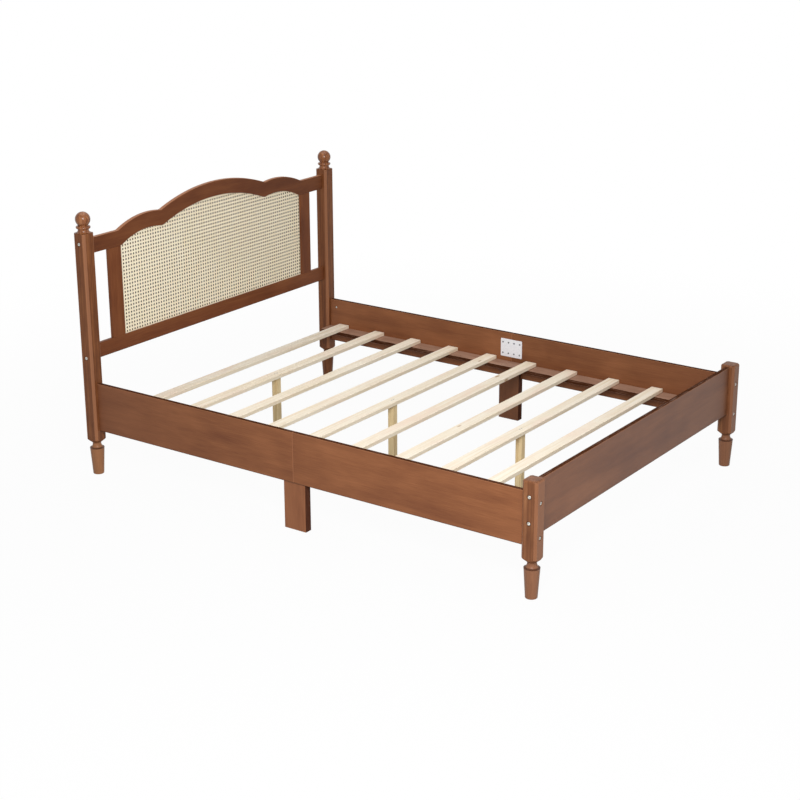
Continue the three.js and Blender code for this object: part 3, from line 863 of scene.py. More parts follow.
@dataclass(frozen=True)
class BarePine:
    """Planed, unfinished pine with soft growth bands and a few knots.

    Its marks are given to a metre along the grain and across it.
    """

    name: str = "bare_pine"
    late: Colour = linear(234, 216, 186)
    early: Colour = linear(250, 240, 222)
    tone_stops: tuple[float, ...] = (0.34, 0.56, 0.8)  # late, early, and early from there on
    blush: Colour = linear(244, 222, 202)
    blush_limits: tuple[float, float] = (0.48, 0.72)
    blush_strength: float = 0.75
    knot: Colour = linear(168, 128, 88)
    knot_share: float = 0.055
    knot_rim: float = 1.8  # how much larger than the knot its rim is
    knot_strength: float = 0.8
    # painted shade on the faces that look along one axis, if any
    side_shade: FaceStain | None = None
    seed_shift: Point = (2.7, 1.3, 0.9)
    growth_bands: tuple[float, float] = (2.2, 1 / (9 * MM))
    fibres: tuple[float, float] = (18, 700)
    patches: tuple[float, float] = (5, 14)
    knots: tuple[float, float] = (4.4, 13)
    band_share: float = 0.7
    gloss: tuple[float, float] = (0.55, 0.7)
    specular: float = 0.3
    relief: tuple[float, float] = (0.3 * MM, 0.2)  # its depth, and how much shows

    def material(self, along: Along, seed: float) -> bpy.types.Material:
        """Make the finish for one board.

        Args:
            along: The way of its grain.
            seed: A number of its own, so that no two boards look the same.

        Returns:
            The material.
        """
        sketch = Sketch(
            f"{self.name}_{along.name.lower()}_{seed:g}", along,
            tuple(seed * part for part in self.seed_shift))
        bands = sketch.noise(*self.growth_bands, detail=3, distortion=0.9)
        fibres = sketch.noise(*self.fibres, detail=3, distortion=0.1)
        patches = sketch.noise(*self.patches, distortion=0.2)
        tone = sketch.weigh([(bands, self.band_share), (fibres, 1 - self.band_share)])
        colour = sketch.ramp(tone, self.tone_stops, (self.late, self.early, self.early))
        blushed = sketch.share(patches, *self.blush_limits, self.blush_strength)
        colour = sketch.blend(blushed, colour, self.blush)
        # Painted shade on the sides
        if self.side_shade:
            colour = sketch.blend(self.side_shade.mask(sketch), colour, self.side_shade.colour)
        knots = sketch.share(
            sketch.cells(sketch.place(*self.knots), 1), self.knot_share * self.knot_rim,
            self.knot_share, self.knot_strength)
        return sketch.coat({
            "Base Color": sketch.blend(knots, colour, self.knot),
            "Roughness": sketch.between(fibres, self.gloss),
            "Normal": sketch.relief(tone, *self.relief), "Specular IOR Level": self.specular})


@dataclass(frozen=True)
class CaneSkin:
    """The pale glossy bark of split rattan."""

    name: str = "cane_strand"
    straw: Colour = linear(248, 233, 200)
    pale: Colour = linear(255, 247, 226)
    tone_stops: tuple[float, ...] = (0.34, 0.6)
    # the strands' cut sides: the pith's duller tan, darkened further as painted shade round the
    # holes
    pith_and_shade: FaceStain = FaceStain(linear(206, 168, 112), "Y", Faces.SIDES)
    streaks: tuple[float, float] = (25, 520)  # to a metre along a strand and across it
    lengths: tuple[float, float] = (3, 60)
    gloss: tuple[float, float] = (0.45, 0.6)
    specular: float = 0.3
    relief: tuple[float, float] = (0.1 * MM, 0.3)  # its depth, and how much shows

    def material(self, along: Along) -> bpy.types.Material:
        """Make the finish for strands that run one way.

        Args:
            along: That way.

        Returns:
            The material.
        """
        sketch = Sketch(f"{self.name}_{along.name.lower()}", along)
        streaks = sketch.noise(*self.streaks, detail=3)
        tone = sketch.weigh([(streaks, 0.5), (sketch.noise(*self.lengths), 0.5)])
        colour = sketch.ramp(tone, self.tone_stops, (self.straw, self.pale))
        return sketch.coat({
            "Base Color": sketch.blend(self.pith_and_shade.mask(sketch), colour, self.pith_and_shade.colour),
            "Roughness": sketch.between(streaks, self.gloss),
            "Normal": sketch.relief(streaks, *self.relief), "Specular IOR Level": self.specular})


@dataclass(frozen=True)
class ZincSteel:
    """Bright zinc on steel, with the faint spangle that the bath leaves."""

    name: str
    dull: Colour
    bright: Colour
    roughness: tuple[float, float]
    metallic: float
    tone_stops: tuple[float, ...] = (0.2, 0.6)
    spangles: float = 160  # to a metre
    grit: float = 900
    spangle_share: float = 0.6
    relief: tuple[float, float] = (0.05 * MM, 0.2)  # its depth, and how much shows

    def material(self) -> bpy.types.Material:
        """Make the finish.

        Returns:
            The material.
        """
        sketch = Sketch(self.name)
        fine = sketch.noise(self.grit, self.grit)
        spangle = sketch.cells(sketch.coordinates(), self.spangles)
        tone = sketch.weigh([(spangle, self.spangle_share), (fine, 1 - self.spangle_share)])
        return sketch.coat({
            "Base Color": sketch.ramp(tone, self.tone_stops, (self.dull, self.bright)),
            "Roughness": sketch.between(fine, self.roughness),
            "Normal": sketch.relief(tone, *self.relief), "Metallic": self.metallic})


# The bed's own finishes

# Painted highlight on the eased ends at the seam, and painted shade along the lower edges and
# towards a rail's end
SEAM_HIGHLIGHT = Band(linear(164, 112, 80), "Y", 0, 2.1 * MM, 1.3 * MM, 0.55)
LOWER_EDGE_SHADE = Band(linear(66, 36, 21), "Z", SIDE_RAIL_BASE, 4.5 * MM, 1 * MM, 0.75)
HEAD_END_SHADE = Band(linear(92, 52, 37), "Y", RAIL_END, 0.6, 0, 0.36)
FOOT_END_SHADE = Band(linear(84, 45, 28), "Y", -RAIL_END, 0.5, 0, 0.45)

# The rails' stain, with painted shade on their tops and undersides and a painted highlight on their
# eased edges
WALNUT = StainedWood(
    specular=0.18, edge=Edge.EASED, second=FaceStain(linear(74, 42, 25), "Z", matt=True),
    bands=(SEAM_HIGHLIGHT, LOWER_EDGE_SHADE))
# Painted shade darkens the left rail towards the head end
HEAD_END_WALNUT = replace(WALNUT, name="head_end_shaded_stain", bands=(SEAM_HIGHLIGHT, LOWER_EDGE_SHADE, HEAD_END_SHADE))
# Painted shade darkens the right foot half all over, and more towards the foot end
SHADED_WALNUT = replace(
    WALNUT.deeper("shaded_walnut_stain", 0.84), bands=(SEAM_HIGHLIGHT, LOWER_EDGE_SHADE, FOOT_END_SHADE))
RAIL_STAINS = {  # by side and end; some halves carry painted shade
    ("left", "head"): HEAD_END_WALNUT, ("left", "foot"): WALNUT,
    ("right", "head"): WALNUT, ("right", "foot"): SHADED_WALNUT,
}
# Painted shade along the footboard's lower edge
FOOTBOARD_WALNUT = replace(
    WALNUT.deeper("footboard_stain", 0.88), specular=0.36,
    bands=(replace(LOWER_EDGE_SHADE, level=FOOTBOARD_BASE),))
# The headboard's boards are darker all over as painted shade, and painted shade runs along the
# bottom rail's lower edge
SHADED_HEADBOARD_WALNUT = StainedWood(
    name="headboard_stain", tones=shades((92, 49, 29), (115, 66, 39), (137, 84, 51)),
    specular=0.12, bands=(replace(LOWER_EDGE_SHADE, level=HEADBOARD_BASE),))
# The crest is darker still as painted shade, with painted light on its top faces and a painted
# highlight on its eased edges
CREST_WALNUT = replace(
    SHADED_HEADBOARD_WALNUT.deeper("crest_stain", 0.86), edge=Edge.EASED,
    second=FaceStain(linear(160, 108, 78), "Z"))

# Painted shade on the middle legs' narrow faces that look along the bed
SIDE_LEG_WALNUT = StainedWood(
    name="side_leg_stain", tones=shades((118, 70, 42), (138, 87, 56), (154, 101, 68)),
    second=FaceStain(linear(80, 48, 36), "Y", matt=True))
# The right leg, under the bed, is darker all over as painted shade
LEG_STAINS = {"left": SIDE_LEG_WALNUT, "right": SIDE_LEG_WALNUT.deeper("shaded_leg_stain", 0.62)}

# Painted shade: the dark line in the cove just above the rim of a foot
COVE_SHADE = Band(linear(58, 29, 17), "Z", RIM_LEVEL, 3.4 * MM, 1.8 * MM, 0.7)
# The posts' stain, with a painted highlight on their chamfers
POST_WALNUT = StainedWood(
    name="post_stain", tones=shades((74, 39, 20), (114, 67, 38), (148, 96, 58)),
    band_width=11 * MM, cloud_size=0.08, band_share=0.5, gloss=(0.34, 0.46), specular=0.18,
    edge=Edge.CHAMFERED, highlight_share=0.56)
# Painted light on the left head post's turned foot, and painted shade in its cove
LIT_FOOT_WALNUT = replace(POST_WALNUT, name="lit_foot_stain", bands=(
    Band(linear(170, 120, 84), "Z", 0, *FOOT_FADE, 0.6), COVE_SHADE))
# Painted light on the faces that look along the bed and on the turned feet, painted shade in the
# coves, and a fainter painted highlight on the chamfers
FOOT_POST_WALNUT = replace(
    POST_WALNUT, name="foot_post_stain", tones=shades((78, 44, 27), (112, 69, 43), (145, 98, 65)),
    highlight_share=0.16, second=FaceStain(linear(143, 96, 68), "Y"),
    bands=(Band(linear(136, 94, 70), "Z", 0, *FOOT_FADE, 0.6), COVE_SHADE))
POST_STAINS = {  # by end and side; the left head post and the foot posts carry painted light on their feet
    ("head", "left"): LIT_FOOT_WALNUT, ("head", "right"): POST_WALNUT,
    ("foot", "left"): FOOT_POST_WALNUT, ("foot", "right"): FOOT_POST_WALNUT,
}

FINIAL_WALNUT = StainedWood(
    name="finial_stain", tones=shades((86, 44, 22), (136, 82, 46), (182, 124, 80)),
    band_width=8 * MM, cloud_size=0.05, band_share=0.6, fibre_share=0.25, gloss=(0.2, 0.28),
    specular=0.32)
# Painted shade on the ledgers' sides, which lie below the slats
LEDGER_WALNUT = StainedWood(
    name="ledger_stain", tones=shades((128, 92, 74), (156, 120, 100), (184, 148, 126)),
    gloss=(0.45, 0.6), second=FaceStain(linear(68, 37, 21), "Z", Faces.SIDES, matt=True))
# Near black on the front as painted shade behind the cane; the back's own brown on the face that
# looks back
BACKING_BROWN = StainedWood(
    name="backing_stain", tones=shades((24, 10, 4), (34, 15, 6), (46, 22, 10)),
    gloss=(0.8, 0.95), specular=0.02,
    second=FaceStain(linear(98, 58, 38), "Y", Faces.PLUS_END))

# Painted shade on the slats' faces that look along the bed, where the slats shade each other
SLAT_PINE = BarePine(side_shade=FaceStain(linear(200, 183, 148), "Y", strength=0.25))
LEG_PINE = BarePine(
    name="leg_pine", late=linear(188, 158, 108), early=linear(222, 200, 156),
    blush=linear(206, 176, 128), knot=linear(140, 100, 62))
CANE = CaneSkin()
PLATE_ZINC = ZincSteel(
    "plate_zinc", linear(226, 228, 235), linear(240, 241, 246), (0.4, 0.5), 0.15)
SCREW_STEEL = ZincSteel(
    "plate_screw_steel", linear(86, 86, 92), linear(120, 120, 126), (0.35, 0.5), 0.3)
BOLT_ZINC = ZincSteel(
    "bolt_zinc", linear(172, 169, 162), linear(208, 205, 198), (0.25, 0.36), 0.8)


# Where the bolts go


@dataclass(frozen=True)
class BoltPlace:
    """One rail bolt: the middle of its hole on a post's outer face, and the way that it runs."""

    node: str
    mouth: Point
    inward: Point
    nut_open: Point

    def point(self, depth: float) -> Vector:
        """Give a point on the bolt's axis, at a depth from the post's outer face."""
        return Vector(self.mouth) + Vector(self.inward) * depth


@dataclass(frozen=True)
class BoltPlan:
    """The places and holes of all the rail bolts."""

    rail_levels: tuple[float, float] = (232 * MM, 362 * MM)
    footboard_levels: tuple[float, float] = (289 * MM, 387 * MM)
    crest_level: float = 982 * MM
    bottom_rail_level: float = 507 * MM
    bore: float = 7 * MM
    counterbore: float = 18 * MM
    counterbore_depth: float = 6.5 * MM
    nut_bore: float = 11.6 * MM
    nut_setback: float = 34 * MM
    nut_length: float = 14 * MM
    tip: float = 9 * MM

    def places(self) -> list[BoltPlace]:
        """List the sixteen bolts.

        Returns:
            Their places, the left side's first.
        """
        outer_x = POST_X + POST_SIZE / 2
        outer_y = POST_Y + POST_SIZE / 2
        heights = ("lower", "upper")
        found: list[BoltPlace] = []
        for word, side in ACROSS:
            boards = [
                (f"bolt_crest_{word}", POST_Y, self.crest_level),
                (f"bolt_bottom_rail_{word}", POST_Y, self.bottom_rail_level),
                *[(f"bolt_footboard_{word}_{height}", -POST_Y, level)
                  for height, level in zip(heights, self.footboard_levels)]]
            for node, y, level in boards:
                found.append(BoltPlace(node, (side * outer_x, y, level), (-side, 0, 0), (0, 1, 0)))
            for end_word, end in LENGTHWISE:
                for height, level in zip(heights, self.rail_levels):
                    found.append(BoltPlace(
                        f"bolt_rail_{word}_{end_word}_{height}",
                        (side * POST_X, end * outer_y, level), (0, -end, 0), (-side, 0, 0)))
        return found

    def post_holes(self, x: float, y: float) -> list[Piece]:
        """Make the cutters for the bolts that enter one post.

        Args:
            x: The post's middle across the bed.
            y: Its middle along the bed.

        Returns:
            One stepped cutter for each bolt.
        """
        reach = POST_SIZE / 2 + OVERSHOOT
        profile = [
            (self.counterbore / 2, -OVERSHOOT),
            (self.counterbore / 2, self.counterbore_depth),
            (self.bore / 2, self.counterbore_depth),
            (self.bore / 2, POST_SIZE + OVERSHOOT),
        ]
        return [
            aim(turned("bolt_hole", profile, 32), place.mouth, place.inward)
            for place in self.places()
            if abs(place.mouth[0] - x) < reach and abs(place.mouth[1] - y) < reach
        ]

    def rail_sockets(self, prefix: str, half_thickness: float) -> list[Piece]:
        """Make the cutters for the bolts and barrel nuts of one rail.

        Args:
            prefix: How the names of its bolts start.
            half_thickness: Half of the rail's thickness, for the nuts' open ends.

        Returns:
            The cutters, a bore and a nut hole fused for each bolt.
        """
        cutters: list[Piece] = []
        nut_depth = POST_SIZE + FIT + self.nut_setback
        for place in self.places():
            if not place.node.startswith(prefix):
                continue
            start = POST_SIZE - OVERSHOOT
            bore = aim(
                rod("bore", self.bore / 2, 0, nut_depth + self.tip + FIT - start, 24),
                place.point(start), place.inward)
            blind = self.nut_length / 2 + FIT
            nut_hole = aim(
                rod("nut_hole", self.nut_bore / 2, 0, blind + half_thickness + OVERSHOOT, 32),
                place.point(nut_depth) - Vector(place.nut_open) * blind, place.nut_open)
            combine(bore, [nut_hole], Boolean.FUSE)
            cutters.append(bore)
        return cutters


BOLTS = BoltPlan()


# The bed's sub-assemblies


@dataclass
class Posts:
    """Four chamfered posts with turned feet."""

    size: float = POST_SIZE
    chamfer: float = 9 * MM
    arris: float = 1.0 * MM  # how far the chamfers' own edges are rounded
    head_top: float = 1025 * MM
    foot_top: float = 448 * MM
    foot_ease: float = 9 * MM
    sole_radius: float = 22.5 * MM
    sole_edge: float = 2 * MM
    rim_radius: float = 30 * MM
    rim_height: float = 114 * MM
    rim_edge: float = 1 * MM
    rim_ease: tuple[float, float] = (0.4 * MM, 0.8 * MM)  # inwards and down
    hollow_height: float = 20 * MM
    neck_radius: float = 17.5 * MM
    neck_round: float = 5 * MM
    shoulder_slope: float = 40
    spigot_radius: float = 6.3 * MM
    spigot_depth: float = 28.3 * MM

    def blank(self, name: str, top: float, ease: float) -> Piece:
        """Plane a square blank with chamfered corners.

        Args:
            name: Its name.
            top: Its height.
            ease: The radius of its top edges, or 0.

        Returns:
            The blank, upright on the origin.
        """
        half = self.size / 2
        piece = block(name, (-half, -half, 0), (half, half, top))
        bevel_edges(piece, lambda a, b: abs(a.z - b.z) > half, self.chamfer, 1)
        if ease:
            bevel_edges(piece, lambda a, b: min(a.z, b.z) > top - FIT, ease, 7)
        soften(piece, self.arris, limit=30)
        return piece

    def turning(self, top: float) -> Piece:
        """Turn the round form that the blank is cut down to.

        Args:
            top: The blank's height.

        Returns:
            The form, wider than the blank above its shoulder.
        """
        neck_level = self.rim_height + self.rim_edge + self.hollow_height
        beyond = self.size
        shoulder = arc(
            (self.neck_radius + self.neck_round, neck_level), (self.neck_round, self.neck_round),
            180, 90 + self.shoulder_slope, 6)
        rise = (beyond - shoulder[-1][0]) * math.tan(math.radians(self.shoulder_slope))
        hollow = arc(
            (self.rim_radius, neck_level), (self.rim_radius - self.neck_radius, self.hollow_height),
            270, 180, 14)
        inwards, down = self.rim_ease
        return turned("turning", [
            *arc((self.sole_radius - self.sole_edge, self.sole_edge),
                 (self.sole_edge, self.sole_edge), -90, 0, 4),
            (self.rim_radius - inwards, self.rim_height - down),
            (self.rim_radius, self.rim_height),
            *hollow,
            *shoulder[1:],
            (beyond, shoulder[-1][1] + rise),
            (beyond, top + OVERSHOOT),
        ])

    def build(self) -> None:
        """Make all four posts."""
        seed = 1.0
        for (end_word, end), top, ease in zip(
                LENGTHWISE, (self.head_top, self.foot_top), (0, self.foot_ease)):
            shaft = self.blank("shaft", top, ease)
            combine(shaft, [self.turning(top)], Boolean.KEEP)
            if end_word == "head":
                combine(shaft, [rod("socket", self.spigot_radius, top - self.spigot_depth,
                                    top + OVERSHOOT, 32)], Boolean.CUT)
            for word, side in ACROSS:
                x, y = side * POST_X, end * POST_Y
                node = f"{end_word}_post_{word}"
                post = copied(shaft, f"{node}_turned", (x, y, 0))
                combine(post, BOLTS.post_holes(x, y), Boolean.CUT)
                smooth(post, 32)
                stain = POST_STAINS[end_word, word]
                deliver(post, stain.material(Along.Z, seed), "stained_wood", node)
                seed += 1
            bpy.data.objects.remove(shaft)


@dataclass
class Finials:
    """A ball over a ring on each head post, with a spigot into the post."""

    base_radius: float = 30 * MM
    base_ease: float = 0.5 * MM
    base_edge: float = 2 * MM
    cove_height: float = 12 * MM
    cove_radius: float = 22 * MM
    fillet_height: float = 3 * MM
    ring_height: float = 12 * MM
    ring_radius: float = 29.5 * MM
    neck_height: float = 3.1 * MM
    neck_radius: float = 20 * MM
    ball_radius: float = 30.5 * MM
    spigot_radius: float = 6 * MM
    spigot_length: float = 28 * MM

    def profile(self) -> Profile:
        """List the rings.

        Returns:
            Radius and height of each, from the spigot's end up to the top of the ball.
        """
        cove_top = self.base_edge + self.cove_height
        half_ring = self.ring_height / 2
        ring_middle = cove_top + self.fillet_height + half_ring
        neck_top = ring_middle + half_ring + self.neck_height
        ball_middle = neck_top + math.sqrt(self.ball_radius ** 2 - self.neck_radius ** 2)
        ball_start = -math.degrees(math.acos(self.neck_radius / self.ball_radius))
        ring_run = self.ring_radius - half_ring
        ball = arc((0, ball_middle), (self.ball_radius, self.ball_radius), ball_start, 90, 26)
        return [
            (self.spigot_radius, -self.spigot_length),
            (self.spigot_radius, FIT),
            (self.base_radius - self.base_ease, FIT),
            (self.base_radius, FIT + self.base_ease),
            *arc((self.base_radius, cove_top), (self.base_radius - self.cove_radius,
                                                self.cove_height), 270, 180, 10),
            (self.cove_radius, ring_middle - half_ring),
            *arc((ring_run, ring_middle), (half_ring, half_ring), -90, 90, 12),
            (self.neck_radius, ring_middle + half_ring),
            *ball[:-1],
            (0, ball[-1][1]),
        ]

    def build(self) -> None:
        """Make both finials."""
        pattern = turned("finial_pattern", self.profile(), 72)
        for word, side in ACROSS:
            finial = copied(
                pattern, f"finial_{word}_turned", (side * POST_X, POST_Y, Posts.head_top))
            smooth(finial, 40, flat_faces=False)
            deliver(finial, FINIAL_WALNUT.material(Along.Z, 7.0 + side), "stained_wood",
                    f"finial_{word}")
        bpy.data.objects.remove(pattern)


@dataclass
class Headboard:
    """The arched crest rail, two stiles, the bottom rail and the backing panel."""

    half_width: float = HALF_BAY_X
    middle_y: float = POST_Y
    thickness: float = 18 * MM
    crest_top: float = 1000 * MM
    crest_depth: float = 65 * MM  # square to the crest's curve
    centre_rise: float = 100 * MM
    centre_radius: float = 954 * MM
    side_rise: float = 43 * MM
    side_radius: float = 420 * MM
    side_offset: float = 413 * MM
    stile_inner: float = 589 * MM
    stile_outer: float = 659 * MM
    rail_base: float = HEADBOARD_BASE
    rail_top: float = 557 * MM
    tenon_thickness: float = 8 * MM
    tenon_length: float = 20 * MM
    tenon_inner: float = 599 * MM
    tenon_outer: float = 649 * MM
    groove_depth: float = 8 * MM
    cane_front: float = -0.5 * MM
    cane_thickness: float = 1.8 * MM
    backing_thickness: float = 4 * MM
    ease: float = 2 * MM
    crest_ease: float = 2.4 * MM
    backing_ease: float = 0.4 * MM
    shoulder_ease: float = 0.3 * MM  # of the stiles' ends
    curve_steps: int = 192

    @property
    def backing_front(self) -> float:
        """How far the backing's front lies behind the frame's middle."""
        return self.cane_front + self.cane_thickness + FIT

    def crest_line(self, x: float, inset: float) -> float:
        """Give the height of the crest's top edge, or of a line inset square to it.

        Args:
            x: The place across the bed.
            inset: How far the line lies below the edge.

        Returns:
            The height from the floor.
        """
        def arch(distance: float, rise: float, radius: float) -> float:
            """Give the height of one arch at a distance from its middle."""
            return rise - radius + math.sqrt(max((radius - inset) ** 2 - distance ** 2, 0))
        centre = arch(x, self.centre_rise, self.centre_radius)
        side = arch(abs(x) - self.side_offset, self.side_rise, self.side_radius)
        return self.crest_top + max(centre, side, -inset)

    def arched(self, name: str, half_width: float, lower: Callable[[float], float],
               upper: Callable[[float], float], near: float, far: float) -> Piece:
        """Make an upright board whose edges follow curves.

        Args:
            name: Its name.
            half_width: Half of its width.
            lower: The height of its lower edge at a place across the bed.
            upper: The height of its upper edge.
            near: Its front face, from the frame's middle plane.
            far: Its back face.

        Returns:
            The board.
        """
        bpy.ops.mesh.primitive_grid_add(
            x_subdivisions=self.curve_steps, y_subdivisions=1, size=2,
            rotation=(math.pi / 2, 0, 0))
        piece = settle(named(name))
        for vertex in piece.data.vertices:
            x = vertex.co.x * half_width
            edge = upper if vertex.co.z > 0 else lower
            vertex.co = (x, self.middle_y + (near + far) / 2, edge(x))
        apply_modifier(piece, "SOLIDIFY", thickness=far - near, offset=0, use_even_offset=False)
        face_out(piece)
        return piece

    def panel(self, name: str, margin: float, near: float, far: float) -> Piece:
        """Make a panel that fills the frame.

        Args:
            name: Its name.
            margin: How far it reaches past the frame's inner edges.
            near: Its front face, from the frame's middle plane.
            far: Its back face.

        Returns:
            The panel.
        """
        return self.arched(
            name, self.stile_inner + margin, lambda x: self.rail_top - margin,
            lambda x: self.crest_line(x, self.crest_depth - margin), near, far)

    def groove(self) -> Piece:
        """Make the cutter for the groove that the cane and the backing sit in."""
        back = self.backing_front + self.backing_thickness
        return self.panel("groove", self.groove_depth, self.cane_front - FIT, back + FIT)

    def tenon(self, side: int, low: float, high: float, room: float) -> Piece:
        """Make a stile's tenons in one bar, or the cutter for a mortise.

        Args:
            side: -1 for the left stile, 1 for the right one.
            low: The height of its lower end.
            high: The height of its upper end.
            room: The clearance all round, if it is a cutter.

        Returns:
            The bar.
        """
        half = self.tenon_thickness / 2 + room
        x0, x1 = span(side, self.tenon_inner - room, self.tenon_outer + room)
        return block("tenon", (x0, self.middle_y - half, low), (x1, self.middle_y + half, high))

    def build_crest(self) -> None:
        """Make the crest rail."""
        crest = self.arched(
            "crest_rail_shaped", self.half_width, lambda x: self.crest_line(x, self.crest_depth),
            lambda x: self.crest_line(x, 0), -self.thickness / 2, self.thickness / 2)
        soften(crest, self.crest_ease, segments=4)
        combine(crest, [self.groove()], Boolean.CUT)
        top = self.crest_top - self.crest_depth + self.tenon_length + FIT
        combine(crest, [self.tenon(side, self.rail_top, top, FIT) for side in (-1, 1)], Boolean.CUT)
        combine(crest, BOLTS.rail_sockets("bolt_crest", self.thickness / 2), Boolean.CUT)
        smooth(crest, 30)
        deliver(crest, CREST_WALNUT.material(Along.X, 11), "stained_wood", "crest_rail")

    def build_bottom_rail(self) -> None:
        """Make the bottom rail."""
        half = self.thickness / 2
        rail = board(
            "headboard_bottom_rail_shaped",
            (-self.half_width, self.middle_y - half, self.rail_base),
            (self.half_width, self.middle_y + half, self.rail_top), self.ease)
        combine(rail, [self.groove()], Boolean.CUT)
        base = self.rail_top - self.tenon_length - FIT
        combine(rail, [self.tenon(side, base, self.rail_top + OVERSHOOT, FIT)
                       for side in (-1, 1)], Boolean.CUT)
        combine(rail, BOLTS.rail_sockets("bolt_bottom_rail", half), Boolean.CUT)
        smooth(rail)
        deliver(rail, SHADED_HEADBOARD_WALNUT.material(Along.X, 12), "stained_wood",
                "headboard_bottom_rail")

    def build_stiles(self) -> None:
        """Make both stiles, each with a tenon at either end."""
        half = self.thickness / 2
        underside = self.crest_top - self.crest_depth
        for word, side in ACROSS:
            x0, x1 = span(side, self.stile_inner, self.stile_outer)
            stile = board(
                f"headboard_stile_{word}_shaped",
                (x0, self.middle_y - half, self.rail_top + FIT),
                (x1, self.middle_y + half, underside - FIT), self.ease, self.shoulder_ease)
            combine(stile, [self.groove()], Boolean.CUT)
            combine(stile, [self.tenon(side, self.rail_top - self.tenon_length,
                                       underside + self.tenon_length, 0)], Boolean.FUSE)
            smooth(stile)
            deliver(stile, SHADED_HEADBOARD_WALNUT.material(Along.Z, 14 + side), "stained_wood",
                    f"headboard_stile_{word}")

    def build_backing(self) -> None:
        """Make the thin board behind the cane."""
        front = self.backing_front
        backing = self.panel("cane_backing_panel_shaped", self.groove_depth - FIT, front,
                             front + self.backing_thickness)
        soften(backing, self.backing_ease)
        smooth(backing)
        deliver(backing, BACKING_BROWN.material(Along.X, 16), "backing_board", "cane_backing_panel")

    def build(self) -> None:
        """Make the headboard's boards."""
        self.build_crest()
        self.build_bottom_rail()
        self.build_stiles()
        self.build_backing()


